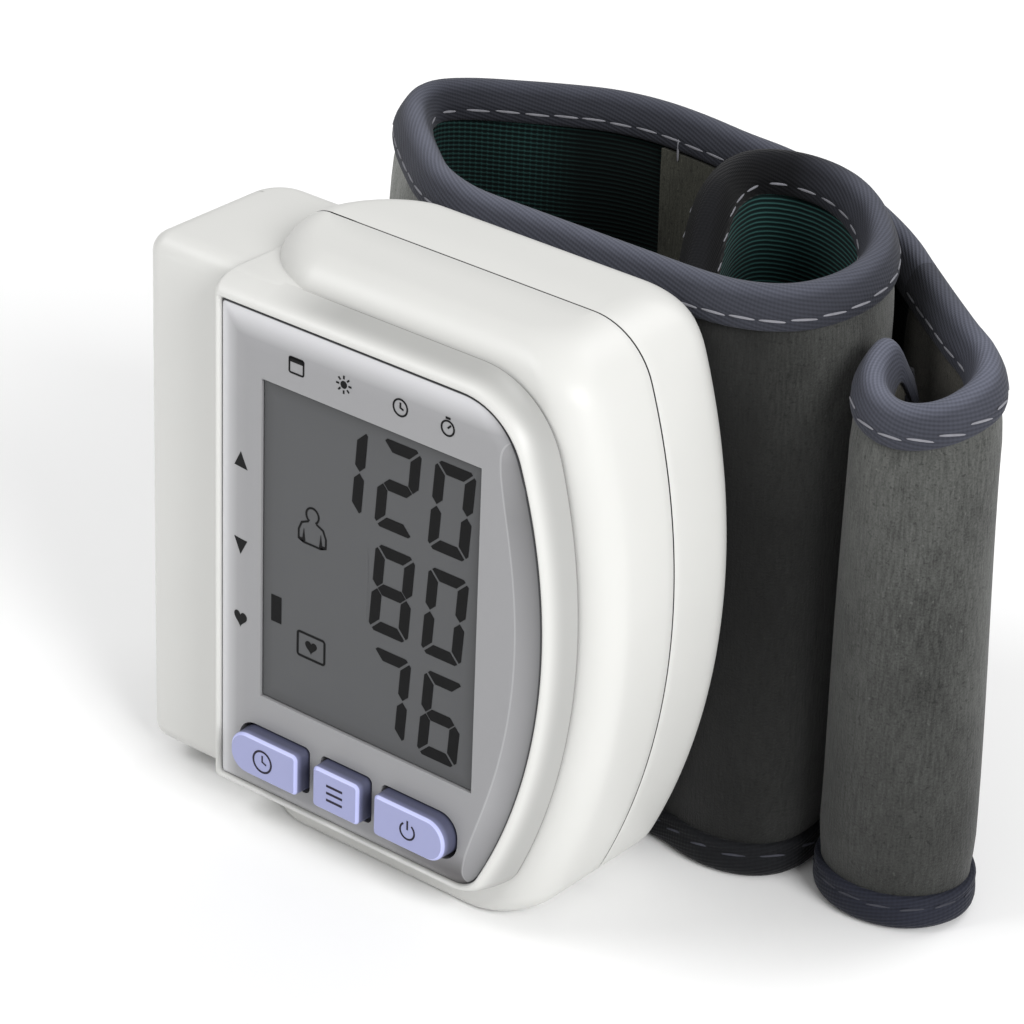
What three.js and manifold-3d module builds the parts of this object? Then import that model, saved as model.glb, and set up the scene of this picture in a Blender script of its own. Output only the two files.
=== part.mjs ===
// Wrist blood pressure monitor with its fabric cuff, standing upright.
// Millimetres, +Z up, the display faces -Y and the cuff loop lies behind the case.
import * as THREE from 'three';
import { mergeVertices } from 'three/addons/utils/BufferGeometryUtils.js';
import Module from 'manifold-3d';

const wasm = await Module();
wasm.setup();

// Case: overall size, planes counted from the display face backwards.
const CASE_RIGHT = 31;
const CASE_LEFT = -31;
const CASE_HEIGHT = 66;
const SHOULDER_FRONT = 4.2;
const CASE_BACK = 27;
const PARTING = 15.7;
const WALL = 1.8;
const GAP = 0.3;

// Shoulder: the rounded D-shaped body behind the frame.
const BOW_RADIUS = 75;
const BOW_CENTRE_Z = 36;
const CORNER_RADIUS = 7;
const FRONT_FILLET = 4.5;
const FOOT_FILLET = 0.9;
const BACK_FILLET = 3;
const NOSE_CENTRE_X = -8.5;
const NOSE_REACH = 12;
const NOSE_POWER = { back: 1.6, front: 1.4 };

// Screws that hold the two halves together: place, shank, head and post.
const SCREW_MARGIN = 4.8;
const SCREW_TOP_X = [-2.5, 18];
const SCREW_LOW_X = [-2.5, 14.5];
const SCREW_RADIUS = 0.9;
const SCREW_HEAD = 1.8;
const SCREW_TIP = 9;
const SCREW_SEAT = 25.5;
const POST_RADIUS = 2.3;

// Battery block on the left, and the cells that set its bay.
const BLOCK_FRONT = 4.2;
const BLOCK_BACK = 24.8;
const BLOCK_BOTTOM = 2;
const BLOCK_TOP = CASE_HEIGHT - 3.2;
const BLOCK_EDGE = 2.3;
const BLOCK_WALL = 1.6;
const BLOCK_FLOOR = 3.3;
const CELL_RADIUS = 5.25;
const CELL_LENGTH = 44.5;
const CELL_PLAY = 0.25;
const SPRING_LENGTH = 1.8;
const CONTACT_SHEET = 0.4;
const CONTACT_HALF = 4.4;
const CRADLE_WALL = 1.2;
const DOOR_HALF = 5.5;
const DOOR_THICK = 1.3;

// Front panel, display window and keys, seen from the front.
const PANEL = { xl: -16.3, xr: 26.5, zb: 5.45, zt: CASE_HEIGHT - 4.75 };
const PANEL_BACK = 1.6;
const WINDOW = { x0: -10.3, x1: 18.6, z0: 17.3, z1: CASE_HEIGHT - 11.7 };
const GLASS_MARGIN = 2;
const HOLDER_LEDGE = 1.2;
const HOLDER_DEPTH = 2.8;
const KEY_Z0 = 8.3;
const KEY_Z1 = 13.3;
const KEY_FACE = -2;
const KEY_TRAVEL = 0.6;
const KEY_FLANGE = 0.6;
const KEY_END = 2.4;
const KEY_CORNER = 0.7;
const KEYS = {
  time: { x0: -13, x1: -3.5, rl: KEY_END, rr: KEY_CORNER, stem: -7.6 },
  memory: { x0: -1.4, x1: 5.1, rl: KEY_CORNER, rr: KEY_CORNER, stem: 1.6 },
  power: { x0: 7, x1: 16.7, rl: KEY_CORNER, rr: KEY_END, stem: 11.8 },
};

// Circuit board and air parts, the board just behind the display holder.
const BOARD = { x0: -9.5, x1: 21, z0: 7.5, z1: CASE_HEIGHT - 7.5 };
const BOARD_THICK = 1.2;
const CHIP = { x: 2, half: 5, thick: 1.4 };
const SENSOR = { x: 0, half: 4, thick: 3.5, port: 1.1 };
const BUZZER = { x: 14.5, radius: 4.5, thick: 4 };
const ZEBRA = { lift: 1, height: 2 };
const PUMP = { x: 19, y: 17.2, z0: CASE_HEIGHT - 51, length: 20, radius: 6 };
const PUMP_HEAD = { half: 5.7, height: 8.7 };
const VALVE = { x: 5, y: 17, z0: 11, length: 12, radius: 4 };
const SPIGOT_RADIUS = 1.2;
const SPIGOT_LENGTH = 2;
const MANIFOLD = { x: 5, y: 17, z: CASE_HEIGHT - 17, half: 5, depth: 3, height: 3 };
const NIPPLE_RADIUS = 1.5;

// Cuff band: layers are offsets from the middle line, positive to the outside.
const BAND_TOP = CASE_HEIGHT + 0.5;
const CURL_LIFT = 3;
const FAR_LIFT = 0.7;
const TAIL_DROP = 2.9;
const ROLL_DIP = 4.4;
const BIND_HALF = 2.2;
const BIND_WALL = 0.45;
const BIND_HEIGHT = 4.2;
const BIND_RIDGE = 0.75;
const BIND_SLOPE = 2.6;
const BIND_EDGE = 2.95;
const OUTER_LAYER = [0.75, 1.5];
const PLATE_LAYER = [0, 0.5];
const BLADDER_LAYER = [-0.7, -0.25];
const LINING_LAYER = [-1.5, -0.95];
const NEAR_Y = CASE_BACK + GAP + BIND_HALF;
const LOOP_STEPS = 66;
const TAIL_STEPS = 26;

const COLOURS = {
  white: [0xe9e9e7, 0.38, 0],
  grey: [0xa3a5a7, 0.42, 0.15],
  lens: [0x66676a, 0.12, 0],
  glass: [0x8d938c, 0.15, 0],
  lilac: [0xa8acd4, 0.35, 0],
  board: [0x2f6b3c, 0.55, 0],
  black: [0x1d1d1f, 0.5, 0],
  steel: [0xb9bbbd, 0.3, 1],
  brass: [0xc2a35a, 0.35, 1],
  cream: [0xd9d4c4, 0.5, 0],
  silicone: [0xdfe3e2, 0.45, 0],
  cell: [0x3b5a8c, 0.4, 0.2],
  pile: [0x484a49, 0.95, 0],
  binding: [0x5c5e6c, 0.9, 0],
  lining: [0x17322d, 0.85, 0],
  patch: [0x5d5c52, 0.95, 0],
};

const group = new THREE.Group();

function place(name, geometry, colour) {
  const [color, roughness, metalness] = COLOURS[colour];
  const material = new THREE.MeshStandardMaterial({ color, roughness, metalness });
  const mesh = new THREE.Mesh(geometry, material);
  mesh.name = name;
  group.add(mesh);
  return mesh;
}

// Joins and cuts.
function solid(geometry) {
  const bare = geometry.clone();
  for (const key of Object.keys(bare.attributes)) {
    if (key !== 'position') bare.deleteAttribute(key);
  }
  const merged = mergeVertices(bare, 1e-4);
  return new wasm.Manifold(new wasm.Mesh({
    numProp: 3,
    vertProperties: new Float32Array(merged.attributes.position.array),
    triVerts: new Uint32Array(merged.index.array),
  }));
}

function shapeOf(body) {
  const mesh = body.getMesh();
  const geometry = new THREE.BufferGeometry();
  geometry.setAttribute('position', new THREE.BufferAttribute(mesh.vertProperties, 3));
  geometry.setIndex(new THREE.BufferAttribute(mesh.triVerts, 1));
  return geometry;
}

function joined(...parts) {
  return parts.map(solid).reduce((sum, part) => sum.add(part));
}

// Basic solids.
function box(x0, x1, y0, y1, z0, z1) {
  const geometry = new THREE.BoxGeometry(x1 - x0, y1 - y0, z1 - z0);
  return geometry.translate((x0 + x1) / 2, (y0 + y1) / 2, (z0 + z1) / 2);
}

function rodY(x, z, radius, y0, y1, sides = 16) {
  const geometry = new THREE.CylinderGeometry(radius, radius, y1 - y0, sides);
  return geometry.translate(x, (y0 + y1) / 2, z);
}

function rodZ(x, y, radius, z0, z1, sides = 20) {
  const geometry = new THREE.CylinderGeometry(radius, radius, z1 - z0, sides);
  return geometry.rotateX(Math.PI / 2).translate(x, y, (z0 + z1) / 2);
}

// A flat shape drawn in x and z, thickened along y.
function slab(shape, y0, y1) {
  const geometry = new THREE.ExtrudeGeometry(shape, {
    depth: y1 - y0,
    bevelEnabled: false,
    curveSegments: 4,
  });
  return geometry.rotateX(Math.PI / 2).translate(0, y1, 0);
}

function pill(x0, x1, z0, z1, rl, rr) {
  const shape = new THREE.Shape();
  shape.moveTo(x0 + rl, z0);
  shape.lineTo(x1 - rr, z0);
  shape.absarc(x1 - rr, z0 + rr, rr, -Math.PI / 2, 0);
  shape.absarc(x1 - rr, z1 - rr, rr, 0, Math.PI / 2);
  shape.lineTo(x0 + rl, z1);
  shape.absarc(x0 + rl, z1 - rl, rl, Math.PI / 2, Math.PI);
  shape.absarc(x0 + rl, z0 + rl, rl, Math.PI, 1.5 * Math.PI);
  return shape;
}

// Turns a triangle list the right way out, by the sign of its volume.
function closed(points, faces) {
  let volume = 0;
  for (const [a, b, c] of faces) {
    volume += points[a].dot(new THREE.Vector3().crossVectors(points[b], points[c]));
  }
  const index = faces.flatMap(([a, b, c]) => (volume < 0 ? [a, c, b] : [a, b, c]));
  const geometry = new THREE.BufferGeometry().setFromPoints(points);
  geometry.setIndex(index);
  return geometry;
}

// Rings of equal length joined in order, with flat ends.
function loft(rings) {
  const n = rings[0].length;
  const points = rings.flat();
  const faces = [];
  for (let k = 0; k + 1 < rings.length; k += 1) {
    for (let i = 0; i < n; i += 1) {
      const a = k * n + i;
      const b = k * n + ((i + 1) % n);
      faces.push([a, b, b + n], [a, b + n, a + n]);
    }
  }
  for (const [ring, flip] of [[0, true], [rings.length - 1, false]]) {
    const centre = new THREE.Vector3();
    rings[ring].forEach((p) => centre.add(p));
    points.push(centre.divideScalar(n));
    const tip = points.length - 1;
    for (let i = 0; i < n; i += 1) {
      const a = ring * n + i;
      const b = ring * n + ((i + 1) % n);
      faces.push(flip ? [b, a, tip] : [a, b, tip]);
    }
  }
  return closed(points, faces);
}

// Points of a circular or elliptical arc, ends included.
function arc(cx, cy, rx, ry, from, to, steps) {
  return Array.from({ length: steps + 1 }, (_, i) => {
    const angle = THREE.MathUtils.degToRad(from + ((to - from) * i) / steps);
    return [cx + rx * Math.cos(angle), cy + ry * Math.sin(angle)];
  });
}

// The D outline in x and z: straight left, top and bottom, bowed right side.
function bowedSide(xr, zb, zt, bow, zc, radius, steps) {
  const cx = xr - bow;
  const corner = (z, side) => {
    const cz = z - side * radius;
    const x = cx + Math.sqrt((bow - radius) ** 2 - (cz - zc) ** 2);
    return { x, z: cz, angle: THREE.MathUtils.radToDeg(Math.atan2(cz - zc, x - cx)) };
  };
  const top = corner(zt, 1);
  const low = corner(zb, -1);
  return [
    ...arc(low.x, low.z, radius, radius, -90, low.angle, 4),
    ...arc(cx, zc, bow, bow, low.angle, top.angle, steps).slice(1, -1),
    ...arc(top.x, top.z, radius, radius, top.angle, 90, 4),
  ];
}

function dOutline(y, { xl, xr, zb, zt, bow, zc, radius, left = 0.6 }) {
  const side = bowedSide(xr, zb, zt, bow, zc, radius, 8);
  const ring = [
    ...side,
    ...arc(xl + left, zt - left, left, left, 90, 180, 2),
    ...arc(xl + left, zb + left, left, left, 180, 270, 2),
  ];
  return ring.map(([x, z]) => new THREE.Vector3(x, y, z));
}

// Left end of the shoulder in plan: a rounded nose, fuller at the back than in front.
function noseArc(cy, rx, ry) {
  return Array.from({ length: 15 }, (_, i) => {
    const angle = Math.PI * (0.5 + i / 14);
    const power = 2 / (i < 7 ? NOSE_POWER.back : NOSE_POWER.front);
    const c = Math.abs(Math.cos(angle)) ** power;
    const v = Math.abs(Math.sin(angle)) ** power * Math.sign(Math.sin(angle));
    return [NOSE_CENTRE_X - rx * c, cy + ry * v];
  });
}

// Shoulder body: one plan outline per height, grown or shrunk by g all round.
function shoulder(g) {
  const bow = BOW_RADIUS + g;
  const radius = CORNER_RADIUS + g;
  const side = bowedSide(CASE_RIGHT + g, -g, CASE_HEIGHT + g, bow, BOW_CENTRE_Z, radius, 9);
  const inset = (z, fillet, foot = fillet) => {
    const reach = Math.max(0, (z < CASE_HEIGHT / 2 ? foot : fillet) + g);
    const d = Math.max(0, z - (CASE_HEIGHT + g - reach), -g + reach - z);
    return reach - Math.sqrt(Math.max(0, reach ** 2 - d ** 2));
  };
  return loft(side.map(([x, z]) => {
    const front = SHOULDER_FRONT - g + inset(z, FRONT_FILLET, FOOT_FILLET);
    const back = CASE_BACK + g - inset(z, BACK_FILLET);
    const rf = FRONT_FILLET + g;
    const rb = BACK_FILLET + 1 + g;
    const nose = NOSE_REACH + g - inset(z, BACK_FILLET);
    const ring = [
      ...arc(x - rf, front + rf, rf, rf, -90, 0, 4),
      ...arc(x - rb, back - rb, rb, rb, 0, 90, 4),
      ...noseArc((front + back) / 2, nose, (back - front) / 2),
    ];
    return ring.map(([px, py]) => new THREE.Vector3(px, py, z));
  }));
}

// Battery block: rounded box, its right end hidden inside the shoulder.
function batteryBlock() {
  const levels = [];
  for (const [s, edge] of [[-1, BLOCK_BOTTOM], [1, BLOCK_TOP]]) {
    const steps = [0, 30, 60, 90].map((a) => THREE.MathUtils.degToRad(a));
    const rows = steps.map((a) => ({
      z: edge - s * BLOCK_EDGE * (1 - Math.cos(a)),
      inset: BLOCK_EDGE * (1 - Math.sin(a)),
    }));
    levels.push(...(s < 0 ? rows : rows.reverse()));
  }
  return loft(levels.map(({ z, inset }) => {
    const x0 = CASE_LEFT + inset;
    const y0 = BLOCK_FRONT + inset;
    const y1 = BLOCK_BACK - inset;
    const r = BLOCK_EDGE;
    const ring = [
      [-12, y0],
      [-12, y1],
      ...arc(x0 + r, y1 - r, r, r, 90, 180, 4),
      ...arc(x0 + r, y0 + r, r, r, 180, 270, 4),
    ];
    return ring.map(([x, y]) => new THREE.Vector3(x, y, z));
  }));
}

// Case. Outlines are grown or shrunk by one amount for each edge.
const FRAME_BASE = { bow: 68, zc: 36, radius: 4.5, left: 0.8 };
const PANEL_BASE = { bow: 60, zc: 35.5, radius: 4, left: 0.5 };
const grown = (edge, l, t = l, r = l, b = l) => ({
  xl: edge.xl - l,
  xr: edge.xr + r,
  zb: edge.zb - b,
  zt: edge.zt + t,
});
const around = (r, m, k = m) => ({ x0: r.x0 - m, x1: r.x1 + m, z0: r.z0 - k, z1: r.z1 + k });
const block = (r, y0, y1) => box(r.x0, r.x1, y0, y1, r.z0, r.z1);

const GLASS = around(WINDOW, GLASS_MARGIN);
const GLASS_BACK = SHOULDER_FRONT - GAP - 0.1;
const HOLDER = around(GLASS, 0, HOLDER_LEDGE);
const HOLDER_BACK = GLASS_BACK + GAP + HOLDER_DEPTH;
const KEY_BAY = around(
  { x0: KEYS.time.x0, x1: KEYS.power.x1, z0: KEY_Z0, z1: KEY_Z1 },
  KEY_FLANGE + GAP,
);
const SCREWS = [
  ...SCREW_TOP_X.map((x) => [x, CASE_HEIGHT - SCREW_MARGIN]),
  ...SCREW_LOW_X.map((x) => [x, SCREW_MARGIN]),
];
const atScrews = (r, y0, y1, sides) => joined(
  ...SCREWS.map(([x, z]) => rodY(x, z, r, y0, y1, sides)),
);

const seat = grown(PANEL, GAP);
const frameBack = SHOULDER_FRONT - GAP;
const frame = solid(loft([
  dOutline(0, { ...FRAME_BASE, ...grown(seat, 0.4) }),
  dOutline(0.5, { ...FRAME_BASE, ...grown(seat, 0.8, 0.9, 0.7, 0.6) }),
  dOutline(1.6, { ...FRAME_BASE, ...grown(seat, 1.1, 1.45, 1, 0.75) }),
  dOutline(frameBack, { ...FRAME_BASE, ...grown(seat, 1.2, 1.75, 1.3, 0.85) }),
]))
  .subtract(solid(loft([-1, PANEL_BACK + GAP].map((y) => dOutline(y, { ...PANEL_BASE, ...seat })))))
  .subtract(solid(block(around(GLASS, GAP), 1, SHOULDER_FRONT + 1)))
  .subtract(solid(block(KEY_BAY, 1, SHOULDER_FRONT + 1)));
place('front_frame', shapeOf(frame), 'white');

const bayX = CASE_LEFT + BLOCK_WALL;
const bayEnd = NOSE_CENTRE_X + 0.5;
const hollow = { x0: bayX, x1: bayEnd, z0: BLOCK_BOTTOM + BLOCK_FLOOR, z1: BLOCK_TOP - BLOCK_WALL };
const outer = solid(shoulder(0));
const inner = solid(shoulder(-WALL));
const front = outer
  .subtract(inner)
  .subtract(solid(box(-50, 50, PARTING - GAP / 2, 50, -10, CASE_HEIGHT + 10)))
  .subtract(solid(block(around(HOLDER, GAP), SHOULDER_FRONT - 1, SHOULDER_FRONT + 4)))
  .subtract(solid(block(KEY_BAY, SHOULDER_FRONT - 1, SHOULDER_FRONT + 4)))
  .subtract(solid(block(hollow, BLOCK_FRONT + BLOCK_WALL, PARTING + 4)))
  .add(atScrews(POST_RADIUS, SHOULDER_FRONT + 0.8, PARTING - GAP / 2, 12).intersect(outer))
  .subtract(atScrews(SCREW_RADIUS + 0.4, SCREW_TIP - 1, PARTING + 4, 10));
place('front_shell', shapeOf(front), 'white');

// The bay's length follows the cells, springs and contacts between its ends.
const CRADLE_X = bayX + GAP;
const CELL_1_X = CRADLE_X + CELL_PLAY + CELL_RADIUS;
const CELL_2_X = CELL_1_X + 2 * CELL_RADIUS + 0.4;
const CELL_Y = (BLOCK_FRONT + BLOCK_BACK) / 2;
const CRADLE_END = CELL_2_X + CELL_RADIUS + 0.35;
const BAY_LENGTH = CELL_LENGTH + SPRING_LENGTH + 2 * CONTACT_SHEET + 5 * GAP;
const BAY_LOW = (hollow.z0 + hollow.z1 - BAY_LENGTH) / 2;
const SPRING_Z = BAY_LOW + GAP + CONTACT_SHEET + GAP;
const CELL_1_Z = SPRING_Z + SPRING_LENGTH + GAP;
const PLUS_Z = CELL_1_Z + CELL_LENGTH + GAP;
const BAY_HIGH = BAY_LOW + BAY_LENGTH;
const door = { y0: CELL_Y - DOOR_HALF, y1: CELL_Y + DOOR_HALF, z0: BAY_LOW, z1: BAY_HIGH - GAP };

const frontZone = solid(box(-50, 50, 0, PARTING + GAP / 2, -10, CASE_HEIGHT + 10));
const nippleHole = (y0, y1) => rodY(MANIFOLD.x, MANIFOLD.z, NIPPLE_RADIUS + 0.4, y0, y1, 12);
const doorway = box(
  CASE_LEFT - 4,
  bayX + 1.5,
  door.y0 - GAP,
  door.y1 + GAP,
  door.z0 - GAP,
  door.z1 + GAP,
);
const blockShell = solid(batteryBlock())
  .subtract(solid(shoulder(GAP)).intersect(frontZone))
  .subtract(inner)
  .subtract(solid(box(HOLDER.x0 - 2.3, 0, 0, BLOCK_FRONT + 2.2, KEY_BAY.z0, HOLDER.z1 + GAP)));
const PAD_MARGIN = 10;
const pad = block(
  { x0: MANIFOLD.x - 6, x1: MANIFOLD.x + 8, z0: PAD_MARGIN, z1: CASE_HEIGHT - PAD_MARGIN },
  CASE_BACK - 1,
  CASE_BACK + 0.7,
);
const rear = outer
  .subtract(frontZone)
  .subtract(inner)
  .add(atScrews(POST_RADIUS + GAP, PARTING + GAP / 2, CASE_BACK - 1, 12).intersect(outer))
  .add(solid(pad))
  .add(blockShell)
  .subtract(solid(block(hollow, BLOCK_FRONT + BLOCK_WALL, BLOCK_BACK - BLOCK_WALL)))
  .subtract(solid(doorway))
  .subtract(atScrews(SCREW_RADIUS + 0.4, SCREW_TIP, CASE_BACK + 3, 10))
  .subtract(atScrews(SCREW_HEAD + GAP, SCREW_SEAT - GAP, CASE_BACK + 3, 12))
  .subtract(solid(nippleHole(CASE_BACK - 7, CASE_BACK + 3)));
place('rear_shell', shapeOf(rear), 'white');

const doorBox = [CASE_LEFT, CASE_LEFT + DOOR_THICK, door.y0, door.y1, door.z0, door.z1];
place('battery_door', box(...doorBox), 'white');

let panel = solid(loft([
  dOutline(PANEL_BACK, { ...PANEL_BASE, ...PANEL }),
  dOutline(0.45, { ...PANEL_BASE, ...PANEL }),
  dOutline(0.05, { ...PANEL_BASE, ...grown(PANEL, -1.6, -1.2, -1.2, -0.6) }),
  dOutline(-0.15, { ...PANEL_BASE, ...grown(PANEL, -4.6, -3.2, -3.2, -1.4) }),
])).subtract(solid(block(WINDOW, -3, 3)));
for (const key of Object.values(KEYS)) {
  const hole = pill(key.x0 - GAP, key.x1 + GAP, KEY_Z0 - GAP, KEY_Z1 + GAP, key.rl, key.rr);
  panel = panel.subtract(solid(slab(hole, -3, 3)));
}
place('front_panel', shapeOf(panel), 'grey');

// Display stack and keys.
const stackFront = PANEL_BACK + GAP;
place('display_lens', block(around(WINDOW, -GAP), 0.2, PANEL_BACK), 'lens');
place('lcd_glass', block(GLASS, stackFront, GLASS_BACK), 'glass');
const holder = solid(block(HOLDER, GLASS_BACK + GAP, HOLDER_BACK))
  .subtract(solid(block(around(GLASS, -GLASS_MARGIN, -0.7), GLASS_BACK, HOLDER_BACK + 1)));
place('lcd_holder', shapeOf(holder), 'cream');
const zebraZ = GLASS.z0 + ZEBRA.lift;
const zebra = { x0: WINDOW.x0 + GAP, x1: WINDOW.x1 - GAP, z0: zebraZ, z1: zebraZ + ZEBRA.height };
place('zebra_strip', block(zebra, GLASS_BACK + GAP, HOLDER_BACK), 'black');

const SWITCH_TOP = HOLDER_BACK - 1.6;
for (const [name, key] of Object.entries(KEYS)) {
  const f = KEY_FLANGE;
  const cap = pill(key.x0, key.x1, KEY_Z0, KEY_Z1, key.rl, key.rr);
  const flange = pill(key.x0 - f, key.x1 + f, KEY_Z0 - f + 0.1, KEY_Z1 + f - 0.1, key.rl, key.rr);
  const cz = (KEY_Z0 + KEY_Z1) / 2;
  const body = joined(
    slab(cap, KEY_FACE, stackFront + GAP),
    slab(flange, stackFront, stackFront + 0.7),
    rodY(key.stem, cz, 1.2, stackFront + 0.5, SWITCH_TOP - KEY_TRAVEL - 0.4, 10),
  );
  place(`${name}_button`, shapeOf(body), 'lilac');
  const base = joined(
    box(key.stem - 1.7, key.stem + 1.7, SWITCH_TOP + GAP, HOLDER_BACK, cz - 1.7, cz + 1.7),
    rodY(key.stem, cz, 0.8, SWITCH_TOP, SWITCH_TOP + 0.7, 10),
  );
  place(`${name}_switch`, shapeOf(base), 'black');
}

// Circuit board and what it carries.
const boardFront = HOLDER_BACK + GAP;
const boardBack = boardFront + BOARD_THICK;
const onBoard = boardBack + GAP;
place('main_board', block(BOARD, boardFront, boardBack), 'board');
const square = (x, z, m) => ({ x0: x - m, x1: x + m, z0: z - m, z1: z + m });
const chipZ = (BOARD.z0 + BOARD.z1) / 2 + CHIP.half;
place('microcontroller', block(square(CHIP.x, chipZ, CHIP.half), onBoard, onBoard + CHIP.thick), 'black');
const sensorZ = BOARD.z1 - SENSOR.half + 0.5;
const sensorBack = onBoard + SENSOR.thick;
const portX = SENSOR.x + SENSOR.half / 2;
const sensor = joined(
  block(square(SENSOR.x, sensorZ - 3, SENSOR.half), onBoard, sensorBack),
  rodY(portX, sensorZ - 3 - SENSOR.half / 2, SENSOR.port, sensorBack - 0.5, sensorBack + 1.4, 10),
);
place('pressure_sensor', shapeOf(sensor), 'cream');
const buzzerZ = BOARD.z1 - BUZZER.radius - 1;
place('buzzer', rodY(BUZZER.x, buzzerZ, BUZZER.radius, onBoard, onBoard + BUZZER.thick, 18), 'black');

// Air path: pump, release valve, manifold and the nipple into the cuff.
const headZ = PUMP.z0 + PUMP.length + GAP;
const headTop = headZ + PUMP_HEAD.height;
const h = PUMP_HEAD.half;
place('pump_motor', rodZ(PUMP.x, PUMP.y, PUMP.radius, PUMP.z0, PUMP.z0 + PUMP.length), 'steel');
const pumpHead = joined(
  box(PUMP.x - h, PUMP.x + h, PUMP.y - h, PUMP.y + h, headZ, headTop),
  rodZ(PUMP.x, PUMP.y, SPIGOT_RADIUS, headTop - 1, headTop + SPIGOT_LENGTH, 10),
);
place('pump_head', shapeOf(pumpHead), 'cream');
const valveTop = VALVE.z0 + VALVE.length;
const valve = joined(
  rodZ(VALVE.x, VALVE.y, VALVE.radius, VALVE.z0, valveTop),
  rodZ(VALVE.x, VALVE.y, SPIGOT_RADIUS, valveTop - 1, valveTop + SPIGOT_LENGTH, 10),
);
place('release_valve', shapeOf(valve), 'steel');
const M = MANIFOLD;
const manifoldBack = M.y + M.depth;
const manifold = { x0: M.x - M.half, x1: M.x + M.half, z0: M.z - M.height, z1: M.z + M.height };
place('air_manifold', block(manifold, M.y - M.depth, manifoldBack), 'cream');

function tube(points, radius) {
  const path = new THREE.CatmullRomCurve3(points.map((p) => new THREE.Vector3(...p)));
  const ring = new THREE.Shape().absarc(0, 0, radius, 0, 2 * Math.PI);
  return new THREE.ExtrudeGeometry(ring, {
    steps: 14,
    bevelEnabled: false,
    extrudePath: path,
    curveSegments: 4,
  });
}
const pumpSpigot = headTop + SPIGOT_LENGTH + GAP + 0.1;
const pumpRun = [
  [PUMP.x, PUMP.y, pumpSpigot],
  [PUMP.x - 0.8, PUMP.y, M.z + 0.6],
  [(PUMP.x + manifold.x1) / 2 + 0.5, (PUMP.y + M.y) / 2, M.z + 1.2],
  [manifold.x1 + 0.8, M.y, M.z + 0.4],
];
place('pump_tube', tube(pumpRun, SPIGOT_RADIUS), 'silicone');
const valveSpigot = valveTop + SPIGOT_LENGTH + GAP + 0.1;
const valveRun = [
  [VALVE.x, VALVE.y, valveSpigot],
  [VALVE.x - 1, VALVE.y + 0.4, valveSpigot + (manifold.z0 - valveSpigot) * 0.33],
  [VALVE.x - 1, VALVE.y + 0.4, valveSpigot + (manifold.z0 - valveSpigot) * 0.67],
  [M.x, M.y, manifold.z0 - 0.5],
];
place('valve_tube', tube(valveRun, SPIGOT_RADIUS), 'silicone');
const nippleTip = NEAR_Y - 0.1;
const nipple = new THREE.LatheGeometry([
  new THREE.Vector2(0, manifoldBack + GAP),
  new THREE.Vector2(NIPPLE_RADIUS, manifoldBack + GAP),
  new THREE.Vector2(NIPPLE_RADIUS, nippleTip - 0.9),
  new THREE.Vector2(NIPPLE_RADIUS - 0.6, nippleTip),
  new THREE.Vector2(0, nippleTip),
], 12);
place('air_nipple', nipple.translate(M.x, 0, M.z), 'silicone');

// Cells, contacts and their cradle.
const cradleY = CELL_Y + CELL_RADIUS + CELL_PLAY;
const cradleBack = cradleY + CRADLE_WALL;
const cradleFront = CELL_Y - CONTACT_HALF - 0.2;
const cradleRight = CRADLE_END + CRADLE_WALL;
const cradleLow = hollow.z0 + GAP;
const cradleHigh = hollow.z1 - GAP;
const cradle = joined(
  box(CRADLE_X, cradleRight, cradleY, cradleBack, cradleLow, cradleHigh),
  box(CRADLE_X, cradleRight, cradleFront, cradleBack, cradleLow, BAY_LOW),
  box(CRADLE_X, cradleRight, cradleFront, cradleBack, BAY_HIGH, cradleHigh),
  box(CRADLE_END, cradleRight, cradleFront, cradleBack, cradleLow, cradleHigh),
);
place('battery_cradle', shapeOf(cradle), 'black');

function cell(x, z0, up) {
  const r = CELL_RADIUS;
  const rim = CELL_LENGTH - 1;
  const rows = [[0, 0], [r - 0.4, 0], [r, 0.4], [r, rim - 0.6], [r - 0.6, rim]];
  rows.push([1.9, rim], [1.9, CELL_LENGTH], [0, CELL_LENGTH]);
  const body = new THREE.LatheGeometry(rows.map(([a, b]) => new THREE.Vector2(a, b)), 20);
  body.rotateX(up ? Math.PI / 2 : -Math.PI / 2);
  return body.translate(x, CELL_Y, up ? z0 : z0 + CELL_LENGTH);
}
const CELL_2_Z = SPRING_Z;
place('battery_1', cell(CELL_1_X, CELL_1_Z, true), 'cell');
place('battery_2', cell(CELL_2_X, CELL_2_Z, false), 'cell');

function coil(x, z0) {
  const z1 = z0 + SPRING_LENGTH;
  const points = Array.from({ length: 25 }, (_, i) => {
    const turn = (i / 24) * 4 * Math.PI;
    const radius = 3.2 - (i / 24) * 1.2;
    const z = z0 + 0.3 + ((z1 - z0 - 0.6) * i) / 24;
    return [x + radius * Math.cos(turn), CELL_Y + radius * Math.sin(turn), z];
  });
  const path = new THREE.CatmullRomCurve3(points.map((p) => new THREE.Vector3(...p)));
  const ring = new THREE.Shape().absarc(0, 0, 0.25, 0, 2 * Math.PI);
  return new THREE.ExtrudeGeometry(ring, {
    steps: 32,
    bevelEnabled: false,
    extrudePath: path,
    curveSegments: 3,
  });
}
place('contact_spring_1', coil(CELL_1_X, SPRING_Z), 'steel');
place('contact_spring_2', coil(CELL_2_X, CELL_2_Z + CELL_LENGTH + GAP), 'steel');
const sheet = (x0, x1, z) => {
  const y = [CELL_Y - CONTACT_HALF + GAP, CELL_Y + CONTACT_HALF - GAP];
  return box(x0 - CONTACT_HALF, x1 + CONTACT_HALF, ...y, z, z + CONTACT_SHEET);
};
place('contact_bridge', sheet(CELL_1_X, CELL_2_X, BAY_LOW + GAP), 'brass');
place('contact_plus', sheet(CELL_1_X, CELL_1_X, PLUS_Z), 'brass');
place('contact_minus', sheet(CELL_2_X, CELL_2_X, PLUS_Z), 'brass');

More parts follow.
